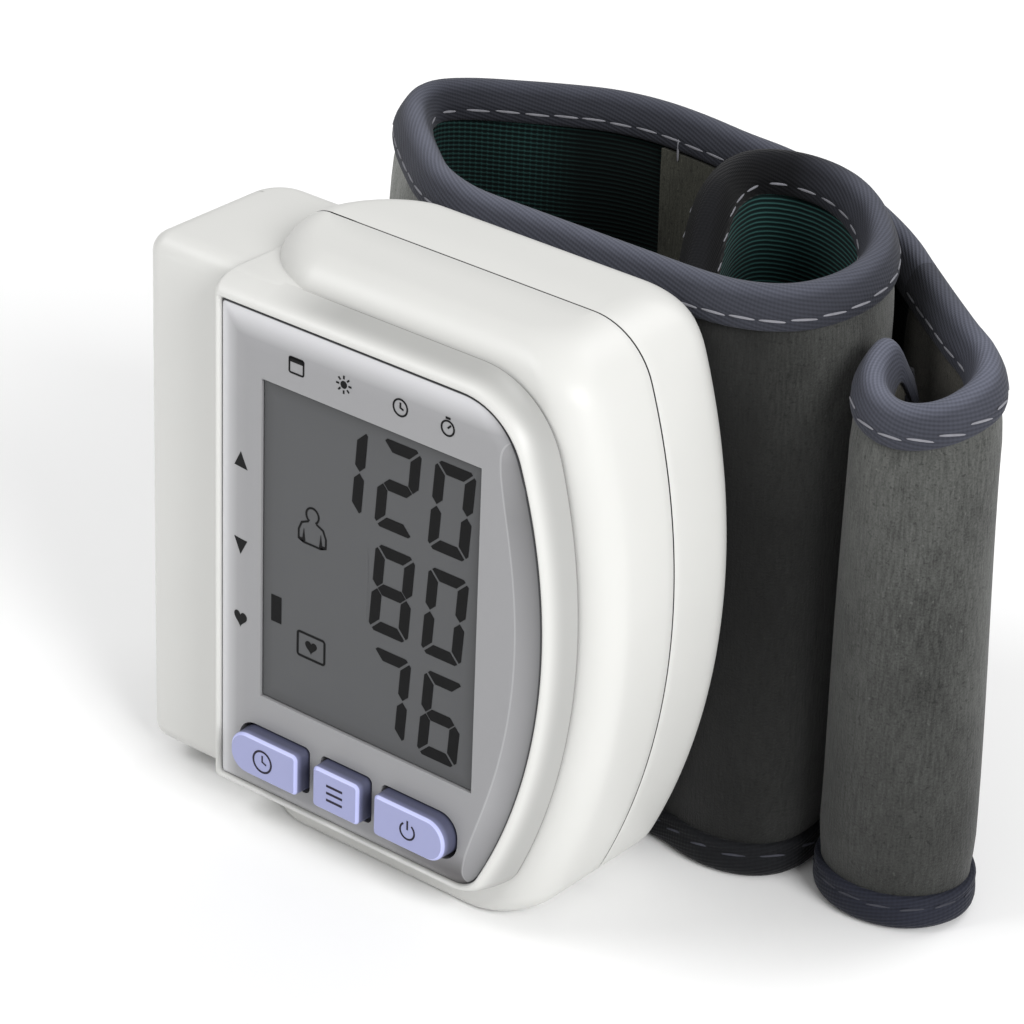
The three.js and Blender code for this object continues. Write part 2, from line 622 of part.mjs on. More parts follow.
SCREWS.forEach(([x, z], i) => {
  const profile = [
    [0, SCREW_TIP],
    [SCREW_RADIUS, SCREW_TIP + 0.6],
    [SCREW_RADIUS, SCREW_SEAT],
    [SCREW_HEAD, SCREW_SEAT],
    [SCREW_HEAD, SCREW_SEAT + 1.1],
    [0, SCREW_SEAT + 1.1],
  ];
  const screw = new THREE.LatheGeometry(profile.map(([a, b]) => new THREE.Vector2(a, b)), 12);
  place(`case_screw_${i + 1}`, screw.translate(x, 0, z), 'steel');
});

// Cuff band: its middle line in plan, from the curled inner end round to the tail.
// Numbers are x, the distance behind the near run, and the splay of the lower edge.
const LOOP_LINE = [
  [18.3, 4.1, 0], [13.8, 12.3, 0], [11.4, 18.3, 0], [11.4, 22.9, 0], [15, 25.5, 0],
  [20.6, 25.5, 0], [26, 23, 0], [30.4, 19, 0], [33.4, 14.1, 0.2], [33.9, 8.7, 0.5],
  [31.7, 3.5, 3.2], [27.4, 0.9, 2.2], [22.5, 0.1, 0.1], [14, 0, 0], [6, 0, 0],
  [-2, 0, 0], [-8, 0.15, 0], [-14, 2.2, 0.8], [-20, 6.6, 2], [-25.8, 11.7, 3],
  [-29.2, 15.9, 3.4], [-29.9, 19.5, 3.4], [-27.2, 22.5, 3], [-22.4, 25.3, 2.4], [-17.4, 28, 2],
  [-12.4, 30.4, 1.8], [-7, 31.4, 1.8], [-1, 31.2, 1.8], [5, 30.4, 1.4], [11, 30.2, 0.8],
  [17, 30.5, 0.4], [23, 29.4, 0.2], [28.8, 26.9, 0], [33.8, 23, 0],
];
const TAIL_LINE = [
  [33.8, 23, 0], [39.4, 18.5, 0], [44.7, 14.4, 0.5], [48.9, 11.5, 1.4], [51.2, 7.8, 1.8],
  [49.6, 3.7, 1.2], [45.3, 1.9, 0.3], [41.1, 3.6, 0], [39.4, 7.7, 0], [40.2, 11.1, 0],
];

// Samples of a plan line with the outward direction, the band's top and its splay.
function samples(line, steps, from, topAt) {
  const at = (p, z) => new THREE.Vector3(p[0], NEAR_Y + p[1], z);
  const curve = new THREE.CatmullRomCurve3(line.map((p) => at(p, p[2])));
  const plan = new THREE.CatmullRomCurve3(line.map((p) => at(p, 0)));
  curve.curveType = 'centripetal';
  plan.curveType = 'centripetal';
  plan.arcLengthDivisions = 2000;
  return Array.from({ length: steps + 1 }, (_, i) => {
    const u = from[0] + ((from[1] - from[0]) * i) / steps;
    const t = plan.getUtoTmapping(u);
    const p = plan.getPoint(t);
    const ahead = plan.getTangent(t);
    const splay = Math.max(0, curve.getPoint(t).z);
    return { u, x: p.x, y: p.y, nx: -ahead.y, ny: ahead.x, top: topAt(u), splay };
  });
}

// A section given as offset and height pairs, carried along the samples.
function sweep(line, section) {
  const rings = line.map((s) => section(s).map(([d, z]) => {
    const reach = d + s.splay * (1 - z / s.top);
    return new THREE.Vector3(s.x + reach * s.nx, s.y + reach * s.ny, z);
  }));
  const n = rings[0].length;
  const points = rings.flat();
  const faces = [];
  for (let k = 0; k + 1 < rings.length; k += 1) {
    for (let i = 0; i < n; i += 1) {
      const a = k * n + i;
      const b = k * n + ((i + 1) % n);
      faces.push([a, b, b + n], [a, b + n, a + n]);
    }
  }
  const flat = section(line[0]).map(([d, z]) => new THREE.Vector2(d, z));
  const last = (rings.length - 1) * n;
  const turned = THREE.ShapeUtils.isClockWise(flat) ? -1 : 1;
  for (const [a, b, c] of THREE.ShapeUtils.triangulateShape(flat, [])) {
    const face = turned > 0 ? [a, b, c] : [a, c, b];
    faces.push([face[0], face[2], face[1]], face.map((v) => v + last));
  }
  return closed(points, faces);
}

const layer = ([d0, d1], low, high) => (s) => [
  [d0, low], [d1, low], [d1, s.top - high], [d0, s.top - high],
];
const topBinding = (s) => {
  const h = BIND_HALF;
  const w = BIND_HALF - BIND_WALL;
  const z = s.top;
  const b = z - BIND_HEIGHT;
  const r = BIND_RIDGE;
  const c = z - BIND_SLOPE;
  return [[h, b], [h, c], [r, z], [-r, z], [-h, c], [-h, b], [-w, b], [-w, c - 0.1], [w, c - 0.1], [w, b]];
};
const lowBinding = () => {
  const h = BIND_HALF;
  const w = BIND_HALF - BIND_WALL;
  const b = BIND_HEIGHT;
  return [[-h, b], [-h, 0], [h, 0], [h, b], [w, b], [w, 0.7], [-w, 0.7], [-w, b]];
};

// The curled end stands a little above the loop, and the far side sinks again behind it.
const { smoothstep } = THREE.MathUtils;
const loopTop = (u) => BAND_TOP
  + CURL_LIFT * (1 - smoothstep(u, 0.15, 0.36))
  + FAR_LIFT * smoothstep(u, 0.62, 0.75)
  - (TAIL_DROP + FAR_LIFT) * smoothstep(u, 0.86, 0.99);
const tailTop = (u) => BAND_TOP - TAIL_DROP - ROLL_DIP * Math.exp(-(((u - 0.72) / 0.2) ** 2));

const loop = samples(LOOP_LINE, LOOP_STEPS, [0, 0.998], loopTop);
const span = (line, a, b) => line.filter(({ u }) => u >= a && u <= b);
const cuffHole = solid(nippleHole(CASE_BACK - 1, NEAR_Y + 0.1));
const fabric = solid(sweep(loop, layer(OUTER_LAYER, 0.95, BIND_EDGE))).subtract(cuffHole);
place('cuff_outer', shapeOf(fabric), 'pile');
const plate = solid(sweep(span(loop, 0.37, 0.5), layer(PLATE_LAYER, 8, 8))).subtract(cuffHole);
place('cuff_plate', shapeOf(plate), 'black');
place('air_bladder', sweep(span(loop, 0.37, 0.86), layer(BLADDER_LAYER, 5.5, 5.5)), 'silicone');
place('cuff_lining', sweep(loop, layer(LINING_LAYER, 0.95, BIND_EDGE)), 'lining');
place('cuff_binding_top', sweep(loop, topBinding), 'binding');
place('cuff_binding_bottom', sweep(loop, lowBinding), 'binding');

// Tail of the band, free to swing where the far side leaves the loop.
const tail = samples(TAIL_LINE, TAIL_STEPS, [0.009, 1], tailTop);
place('tail_outer', sweep(tail, layer([0.2, 1.5], 0.95, BIND_EDGE)), 'pile');
place('tail_lining', sweep(tail, layer([-0.8, -0.1], 0.95, BIND_EDGE)), 'patch');
place('hook_patch', sweep(span(tail, 0.55, 0.98), layer([-1.5, -1.1], 5, 5)), 'patch');
place('tail_binding_top', sweep(tail, topBinding), 'binding');
place('tail_binding_bottom', sweep(tail, lowBinding), 'binding');

// The origin sits under the middle of everything, on the standing plane.
const bounds = new THREE.Box3().setFromObject(group);
const middle = bounds.getCenter(new THREE.Vector3());
group.position.set(-middle.x, -middle.y, -bounds.min.z);
group.updateMatrixWorld(true);

export default group;
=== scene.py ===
import bmesh
import bpy
import numpy as np
from mathutils import Matrix, Vector
from mathutils.geometry import delaunay_2d_cdt


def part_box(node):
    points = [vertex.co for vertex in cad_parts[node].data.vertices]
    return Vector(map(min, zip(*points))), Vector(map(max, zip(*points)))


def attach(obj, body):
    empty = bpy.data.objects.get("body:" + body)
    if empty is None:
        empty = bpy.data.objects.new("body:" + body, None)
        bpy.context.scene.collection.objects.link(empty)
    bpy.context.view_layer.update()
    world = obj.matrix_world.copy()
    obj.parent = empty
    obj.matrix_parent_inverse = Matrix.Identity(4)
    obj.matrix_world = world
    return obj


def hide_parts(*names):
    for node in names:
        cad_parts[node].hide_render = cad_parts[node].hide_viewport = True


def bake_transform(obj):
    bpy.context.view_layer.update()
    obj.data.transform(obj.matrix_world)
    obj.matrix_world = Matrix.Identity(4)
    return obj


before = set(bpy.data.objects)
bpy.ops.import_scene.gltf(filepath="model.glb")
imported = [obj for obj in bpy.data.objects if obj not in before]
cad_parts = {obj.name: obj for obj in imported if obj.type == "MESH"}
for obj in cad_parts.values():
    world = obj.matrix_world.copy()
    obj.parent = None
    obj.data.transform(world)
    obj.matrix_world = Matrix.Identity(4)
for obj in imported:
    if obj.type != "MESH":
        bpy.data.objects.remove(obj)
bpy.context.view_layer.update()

# Camera: a long lens above and to the right of the display, level with the photograph's view.
# Sizes are millimetres from the display face, the middle of the case and the standing plane.
MM = 0.001
CASE_LEFT = -31.0
KEY_FACE = -2.0
ORIGIN = np.array([
    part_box("battery_door")[0].x / MM - CASE_LEFT,
    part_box("power_button")[0].y / MM - KEY_FACE,
    0.0,
])


def in_frame(points):
    """The case's millimetres moved to the frame's origin and turned into metres."""
    return (np.asarray(points, float) + ORIGIN) * MM


VIEW_TURN, VIEW_LIFT, VIEW_ROLL = np.radians([38.52, 27.87, 2.12])
VIEW_TARGET = np.array([12.87, 12.0, 42.75])
VIEW_DISTANCE = 421.15
VIEW_LENS = 146.63

back = np.array([
    np.sin(VIEW_TURN) * np.cos(VIEW_LIFT),
    -np.cos(VIEW_TURN) * np.cos(VIEW_LIFT),
    np.sin(VIEW_LIFT),
])
right = np.array([np.cos(VIEW_TURN), np.sin(VIEW_TURN), 0.0])
up = np.cross(back, right)
camera_x = right * np.cos(VIEW_ROLL) + up * np.sin(VIEW_ROLL)
camera_y = up * np.cos(VIEW_ROLL) - right * np.sin(VIEW_ROLL)
lens = bpy.data.cameras.new("camera")
lens.sensor_width = 36.0
lens.lens = VIEW_LENS
lens.clip_start = 0.02
lens.clip_end = 20.0
camera = bpy.data.objects.new("camera", lens)
place = np.eye(4)
place[:3, :3] = np.stack([camera_x, camera_y, back], axis=1)
place[:3, 3] = in_frame(VIEW_TARGET + back * VIEW_DISTANCE)
camera.matrix_world = Matrix(place.tolist())
bpy.context.scene.collection.objects.link(camera)
bpy.context.scene.camera = camera

# Studio: a white floor, an even white surround and three large soft lamps.
# The lamps stand well off, so every edge keeps a broad, quiet highlight.
bpy.context.scene.view_settings.view_transform = "Standard"
SURROUND = 0.45
LAMPS = {
    "side_lamp": dict(at=(1600.0, -500.0, 960.0), size=1000.0, power=29.5),
    "key_lamp": dict(at=(-1000.0, -920.0, 1460.0), size=1000.0, power=15.0),
    "rim_lamp": dict(at=(210.0, 1330.0, 1470.0), size=1050.0, power=9.5),
}
LAMP_AIM = np.array([8.0, 20.0, 34.0])

world = bpy.data.worlds.new("surround")
world.use_nodes = True
world.node_tree.nodes["Background"].inputs["Color"].default_value = (1.0, 1.0, 1.0, 1.0)
world.node_tree.nodes["Background"].inputs["Strength"].default_value = SURROUND
bpy.context.scene.world = world
for lamp_name, lamp in LAMPS.items():
    data = bpy.data.lights.new(lamp_name, "AREA")
    data.shape = "DISK"
    data.size = lamp["size"] * MM
    data.energy = lamp["power"]
    lamp_object = bpy.data.objects.new(lamp_name, data)
    lamp_object.location = in_frame(lamp["at"])
    aim = np.array(lamp["at"]) - LAMP_AIM
    lamp_object.rotation_mode = "QUATERNION"
    lamp_object.rotation_quaternion = Vector(aim).to_track_quat("Z", "Y")
    bpy.context.scene.collection.objects.link(lamp_object)


def linear(red, green, blue):
    """Screen colour from 0 to 255 to the linear light that shaders take."""
    c = np.array([red, green, blue]) / 255.0
    value = np.where(c <= 0.04045, c / 12.92, ((c + 0.055) / 1.055) ** 2.4)
    return (*value.tolist(), 1.0)


def new_finish(name, colour, roughness, **sockets):
    """A material with one shader; plain numbers and colours sit on the shader's own sockets."""
    material = bpy.data.materials.new(name)
    material.use_nodes = True
    shader = material.node_tree.nodes["Principled BSDF"]
    shader.inputs["Base Color"].default_value = colour
    shader.inputs["Roughness"].default_value = roughness
    for socket, value in sockets.items():
        shader.inputs[socket.replace("_", " ")].default_value = value
    return material


def add_node(material, kind, inputs=(), **settings):
    """One more node in a material, with its settings, fixed inputs and incoming links."""
    node = material.node_tree.nodes.new(kind)
    for key, value in settings.items():
        setattr(node, key, value)
    for key, value in dict(inputs).items():
        if isinstance(value, bpy.types.NodeSocket):
            material.node_tree.links.new(value, node.inputs[key])
        else:
            node.inputs[key].default_value = value
    return node


def into_shader(material, **sockets):
    """Links node outputs to the shader's sockets by name."""
    shader = material.node_tree.nodes["Principled BSDF"]
    for socket, output in sockets.items():
        material.node_tree.links.new(output, shader.inputs[socket.replace("_", " ")])


def ramp(material, fac, stops):
    """A colour that runs through the given stops as fac goes from 0 to 1."""
    node = add_node(material, "ShaderNodeValToRGB", {"Fac": fac})
    band = node.color_ramp
    while len(band.elements) < len(stops):
        band.elements.new(0.5)
    for element, (spot, colour) in zip(band.elements, stops):
        element.position = spot
        element.color = colour
    return node.outputs["Color"]


def shaded(colour, amount):
    """The same colour, brighter or darker by a factor."""
    return (*[min(1.0, c * amount) for c in colour[:3]], 1.0)


floor_finish = new_finish("studio_white", linear(250, 250, 250), 0.9, Specular_IOR_Level=0.1)
FLOOR_HALF, FLOOR_DROP = 4000.0, 0.02
floor_corners = np.array([[-1, -1, 0], [1, -1, 0], [1, 1, 0], [-1, 1, 0]]) * FLOOR_HALF
floor_mesh = bpy.data.meshes.new("floor")
floor_mesh.from_pydata(in_frame(floor_corners - [0.0, 0.0, FLOOR_DROP]).tolist(), [], [(0, 1, 2, 3)])
floor_mesh.materials.append(floor_finish)
floor = bpy.data.objects.new("floor", floor_mesh)
bpy.context.scene.collection.objects.link(floor)

# Front half of the case: a moulded white shell, open behind, with a rounded shoulder.
# It is a D seen from the front, with a blunt nose that runs onto the battery block.
CASE_RIGHT = 31.0
CASE_HEIGHT = 66.0
CASE_BACK = 27.0
SHOULDER_FRONT = 4.2
PARTING = 15.7
PARTING_GAP = 0.18
BOW_RADIUS, BOW_CENTRE = 75.0, 36.0
FOOT_CORNER, TOP_CORNER = 7.0, 8.0
FRONT_FILLET, FOOT_FILLET, BACK_FILLET, BACK_ROUND = 4.5, 0.9, 3.0, 4.0
NOSE_CENTRE, NOSE_REACH, NOSE_FILLET = -8.5, 10.6, 3.8
NOSE_POWER = 1.75
LIP = 3.5
EDGE_ROUND = 0.07


def blended(material, kind, a, b, share=1.0):
    """One colour laid on another by a named rule."""
    node = add_node(material, "ShaderNodeMixRGB", {"Fac": share, "Color1": a, "Color2": b}, blend_type=kind)
    return node.outputs["Color"]


def map_range(material, value, low, high, to_low=0.0, to_high=1.0):
    """A value's run from low to high, spread over another run and held at its ends."""
    runs = {"Value": value, "From Min": low, "From Max": high, "To Min": to_low, "To Max": to_high}
    return add_node(material, "ShaderNodeMapRange", runs).outputs["Result"]


def noise(material, vector, scale, detail, roughness=0.5):
    """Cloudy noise between 0 and 1."""
    inputs = {"Vector": vector, "Scale": scale, "Detail": detail, "Roughness": roughness}
    return add_node(material, "ShaderNodeTexNoise", inputs).outputs["Fac"]


def bumped(material, height, strength, distance):
    """The surface's direction, tilted by a height; the distance is in metres."""
    inputs = {"Height": height, "Strength": strength, "Distance": distance}
    return add_node(material, "ShaderNodeBump", inputs).outputs["Normal"]


def own_place(material):
    """The place on the piece, in metres."""
    return add_node(material, "ShaderNodeTexCoord").outputs["Object"]


def shades(colour, *stops):
    """Ramp stops of one colour, each lighter or darker by its own share."""
    return [(spot, shaded(colour, share)) for spot, share in stops]


JOINT_AND_SHADE_DARK = linear(26, 26, 30)
EGGSHELL, EGGSHELL_DEPTH = 0.12, 0.00002


def moulded(name, colour, roughness=0.42):
    """Moulded plastic: a faint cloudy tone and a very fine eggshell grain in the gloss.
    Where the mesh carries a shade, the tone darkens by that share: a dark joint between two mouldings,
    and painted shade on the bezel's outer slope."""
    material = new_finish(name, colour, roughness)
    cloud = noise(material, own_place(material), 55.0, 3.0)
    fine = noise(material, own_place(material), 5200.0, 2.0)
    tone = ramp(material, cloud, shades(colour, (0.3, 0.985), (0.7, 1.01)))
    joint = add_node(material, "ShaderNodeAttribute", attribute_name="shade").outputs["Fac"]
    tone = blended(material, "MIX", tone, JOINT_AND_SHADE_DARK, joint)
    gloss = map_range(material, cloud, 0.3, 0.7, roughness * 0.93, roughness * 1.08)
    grain = bumped(material, fine, EGGSHELL, EGGSHELL_DEPTH)
    into_shader(material, Base_Color=tone, Roughness=gloss, Normal=grain)
    return material


def grid_faces(rows, cols, wrap_rows=False, wrap_cols=False):
    """Quads between neighbours on a grid; a wrapped direction also joins its last line to its first."""
    i = np.arange(rows if wrap_rows else rows - 1)[:, None]
    j = np.arange(cols if wrap_cols else cols - 1)[None, :]
    i2, j2 = (i + 1) % rows, (j + 1) % cols
    quads = [i * cols + j, i * cols + j2, i2 * cols + j2, i2 * cols + j]
    return np.stack([np.broadcast_to(q, (i.size, j.size)) for q in quads], axis=-1).reshape(-1, 4)


def joined(*parts):
    """Several point and face lists as one, with the later faces counted on."""
    points, faces, start = [], [], 0
    for part_points, part_faces in parts:
        part_points = np.asarray(part_points, float).reshape(-1, 3)
        points.append(part_points)
        faces.extend((np.asarray(f) + start).tolist() for f in part_faces)
        start += len(part_points)
    return np.concatenate(points), faces


MERGE_WITHIN, DISSOLVE_WITHIN = 2e-7, 1e-7
SHARP_FROM, FACETS_FROM = np.radians([42.0, 1.0])


def add_piece(
    name, points, faces, finish, slot, body="case_and_cuff", stands_for=(), uv=None, flat=False, shade=None,
):
    """One object at the origin from case millimetres; doubles are merged and faces turned outwards."""
    mesh = bpy.data.meshes.new(name)
    mesh.from_pydata(in_frame(points).tolist(), [], [list(f) for f in faces])
    if uv is not None:
        corners = np.empty(len(mesh.loops), int)
        mesh.loops.foreach_get("vertex_index", corners)
        layer = mesh.uv_layers.new(name="cloth")
        layer.data.foreach_set("uv", np.asarray(uv, float).reshape(-1, 2)[corners].ravel())
    if shade is not None:
        layer = mesh.attributes.new("shade", "FLOAT", "POINT")
        layer.data.foreach_set("value", np.asarray(shade, float).ravel())
    shape = bmesh.new()
    shape.from_mesh(mesh)
    bmesh.ops.remove_doubles(shape, verts=shape.verts, dist=MERGE_WITHIN)
    bmesh.ops.dissolve_degenerate(shape, edges=shape.edges, dist=DISSOLVE_WITHIN)
    bmesh.ops.recalc_face_normals(shape, faces=shape.faces)
    shape.to_mesh(mesh)
    shape.free()
    mesh.shade_smooth()
    mesh.set_sharp_from_angle(angle=FACETS_FROM if flat else SHARP_FROM)
    mesh.materials.append(finish)
    piece = bpy.data.objects.new(name, mesh)
    bpy.context.scene.collection.objects.link(piece)
    if body:
        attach(piece, body)
    if stands_for:
        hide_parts(*stands_for)
    return piece


def arc(cx, cy, radius, start, stop, steps):
    """Points of circular arcs, one row per centre, ends included; angles in radians."""
    turn = np.linspace(0.0, 1.0, steps + 1)[None, :]
    angle = np.asarray(start)[..., None] + (np.asarray(stop) - start)[..., None] * turn
    cx, cy = np.asarray(cx)[..., None], np.asarray(cy)[..., None]
    return cx + radius * np.cos(angle), cy + radius * np.sin(angle)


def bowed_side(reach, low, high, bow, centre, low_round, high_round, corner_steps=14, side_steps=48):
    """Right side of a D: a round corner, a long bow of large radius, then the other round corner.
    Each value may be a column, one row of points for each."""
    values = (reach, low, high, bow, low_round, high_round)
    reach, low, high, bow, low_round, high_round = np.broadcast_arrays(*map(np.atleast_1d, values))
    middle = reach - bow

    def corner(z, side, radius):
        cz = z - side * radius
        cx = middle + np.sqrt((bow - radius) ** 2 - (cz - centre) ** 2)
        return cx, cz, np.arctan2(cz - centre, cx - middle)

    low_x, low_z, low_angle = corner(low, -1, low_round)
    top_x, top_z, top_angle = corner(high, 1, high_round)
    quarter = np.full_like(low_angle, np.pi / 2)
    parts = [
        arc(low_x, low_z, low_round[:, None], -quarter, low_angle, corner_steps),
        arc(middle, np.full_like(middle, centre), bow[:, None], low_angle, top_angle, side_steps),
        arc(top_x, top_z, high_round[:, None], top_angle, quarter, corner_steps),
    ]
    xs = [parts[0][0], parts[1][0][:, 1:-1], parts[2][0]]
    zs = [parts[0][1], parts[1][1][:, 1:-1], parts[2][1]]
    return np.concatenate(xs, axis=1), np.concatenate(zs, axis=1)


def shoulder_half(side):
    """One half of the D-shaped body. Each height up the bowed right side has a plan outline:
    a lip at the parting, a straight side, a quarter-round, a straight face, then the nose,
    whose reach falls off as a rounded power curve. The flat top and foot run on to the parting
    and turn in there too. side is -1 in front and 1 behind."""
    right_side = bowed_side(CASE_RIGHT, 0.0, CASE_HEIGHT, BOW_RADIUS, BOW_CENTRE, FOOT_CORNER, TOP_CORNER)
    x, z = (v[0] for v in right_side)
    foot_z = np.concatenate([FOOT_FILLET * np.array([0.04, 0.1, 0.2, 0.35, 0.55, 0.8]), z])
    order = np.argsort(foot_z, kind="stable")
    x = np.interp(foot_z, z, x)[order]
    z = foot_z[order]
    away = np.stack([np.gradient(z), -np.gradient(x)])
    away /= np.linalg.norm(away, axis=0)
    away[:, 0], away[:, -1] = (0.0, -1.0), (0.0, 1.0)

    def inset(fillet, foot):
        reach = np.where(z < CASE_HEIGHT / 2, foot, fillet)
        depth = np.maximum(0.0, np.maximum(z - (CASE_HEIGHT - reach), reach - z))
        return reach - np.sqrt(np.maximum(0.0, reach ** 2 - depth ** 2))

    front = SHOULDER_FRONT + inset(FRONT_FILLET, FOOT_FILLET)
    rear = CASE_BACK - inset(BACK_FILLET, BACK_FILLET)
    nose = NOSE_REACH - inset(NOSE_FILLET, BACK_FILLET)
    middle, half = (front + rear) / 2, (rear - front) / 2
    face, fillet = (front, FRONT_FILLET) if side < 0 else (rear, BACK_ROUND)
    edge = PARTING + side * PARTING_GAP / 2

    def nose_x(y):
        lean = np.minimum(1.0, np.abs(y - middle[:, None]) / half[:, None])
        return NOSE_CENTRE - nose[:, None] * (1 - lean ** NOSE_POWER) ** (1 / NOSE_POWER)

    lip_in = np.array([LIP, EDGE_ROUND, EDGE_ROUND * 0.3, 0.0])
    lip_y = edge + side * np.array([0.0, 0.0, EDGE_ROUND * 0.3, EDGE_ROUND])
    lip_row = np.broadcast_to(lip_y, (len(x), 4))
    run = np.linspace(0.0, 1.0, 8)[None, 1:-1]
    start = edge + side * EDGE_ROUND
    straight_y = start + (face - side * fillet - start)[:, None] * run
    turn = np.zeros_like(x)
    round_x, round_y = arc(x - fillet, face - side * fillet, fillet, turn, turn + side * np.pi / 2, 12)
    face_x = (x - fillet)[:, None] + (NOSE_CENTRE - x + fillet)[:, None] * np.linspace(0, 1, 14)[None, 1:]
    sweep = 1 - np.cos(np.linspace(0, np.pi / 2, 32))[None, 1:]
    nose_y = face[:, None] + (start - face)[:, None] * sweep
    tip_x = nose_x(np.broadcast_to(start, (len(x), 1))) + lip_in[::-1][None, 1:]
    lip_x = x[:, None] - away[0][:, None] * lip_in
    straight_x = np.broadcast_to(x[:, None], straight_y.shape)
    face_y = np.broadcast_to(face[:, None], face_x.shape)
    tip_y = lip_row[:, ::-1][:, 1:]
    plan_x = np.concatenate([lip_x, straight_x, round_x, face_x, nose_x(nose_y), tip_x], axis=1)
    plan_y = np.concatenate([lip_row, straight_y, round_y, face_y, nose_y, tip_y], axis=1)
    plan_z = np.broadcast_to(z[:, None], plan_x.shape).copy()
    plan_z[:, :4] -= away[1][:, None] * lip_in
    wall = np.stack([plan_x, plan_y, plan_z], axis=-1)
    ends = []
    for row, down in ((wall[0], 1.0), (wall[-1], -1.0)):
        row = row[3:-3]
        at_joint = np.column_stack([row[:, 0], np.full(len(row), start), row[:, 2]])
        levels = [row + (at_joint - row) * t for t in (0.0, 0.5, 1.0)]
        for y, drop in zip(lip_y[2::-1], lip_in[2::-1]):
            levels.append(np.column_stack([row[:, 0], np.full(len(row), y), row[:, 2] + down * drop]))
        ends.append((np.stack(levels), grid_faces(6, len(row))))
    return joined((wall, grid_faces(*wall.shape[:2])), *ends)


def rise(value, low, high):
    """0 below low, 1 above high and a smooth step between."""
    t = np.clip((value - low) / (high - low), 0, 1)
    return t * t * (3 - 2 * t)


LEDGE_TOP, LEDGE_WALL, LEDGE_ROUND = 63.36, 2.6, 0.9
LEDGE_LEFT, LEDGE_FLAT, LEDGE_RIGHT, LEDGE_DIP = -17.79, -13.0, -5.0, 2.0
LEDGE_FALL, LEDGE_LEVEL, LEDGE_POWER = 0.45, 3.6, 2.5
LEDGE_RUN = (1.8, 2.1, 2.4, 2.7, 3.0, 3.3, LEDGE_LEVEL, 6.0, 13.0)


def top_ledge():
    """A low step behind the frame: one profile across x, a short wall, a round edge and a flat that dips
    towards the nose. Its front runs down under the frame."""
    turn = np.linspace(0, np.pi / 2, 9)
    drawn = np.linspace(0, 1, 18)
    round_x = LEDGE_LEFT + LEDGE_ROUND * (1 - np.cos(turn))
    round_z = LEDGE_TOP - LEDGE_ROUND * (1 - np.sin(turn))
    x = np.concatenate([[LEDGE_LEFT], round_x, LEDGE_FLAT + (LEDGE_RIGHT - LEDGE_FLAT) * drawn])
    z = np.concatenate([[LEDGE_TOP - LEDGE_WALL], round_z, LEDGE_TOP - LEDGE_DIP * drawn ** LEDGE_POWER])
    y = np.array(LEDGE_RUN)[:, None]
    z = z - LEDGE_FALL * (1 - rise(y, LEDGE_RUN[0], LEDGE_LEVEL))
    grid = np.stack([np.broadcast_to(x, z.shape), np.broadcast_to(y, z.shape), z], axis=-1)
    return grid, grid_faces(*z.shape)


white_plastic = moulded("white_plastic", linear(206, 206, 203))
points, faces = joined(shoulder_half(-1), top_ledge())
in_joint = np.isclose(points[:, 1], PARTING - PARTING_GAP / 2)
add_piece(
    "front_half", points, faces, white_plastic, "white_plastic", stands_for=["front_shell"], shade=in_joint,
)

# Rear half of the case with the battery block: one moulding, with a doorway in the block's left face.
# The block is a box with soft edges whose right end runs into the shoulder.
BLOCK_FRONT, BLOCK_BACK = 4.3, 24.8
BLOCK_BOTTOM, BLOCK_TOP = 2.0, 62.8
BLOCK_EDGE, BLOCK_REAR_ROUND = 2.3, 4.3
BLOCK_END = -6.0
DOOR_LOW, DOOR_HIGH = (np.array(c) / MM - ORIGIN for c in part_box("battery_door"))
DOOR_GAP = 0.25
DOORWAY_DEPTH = 1.6


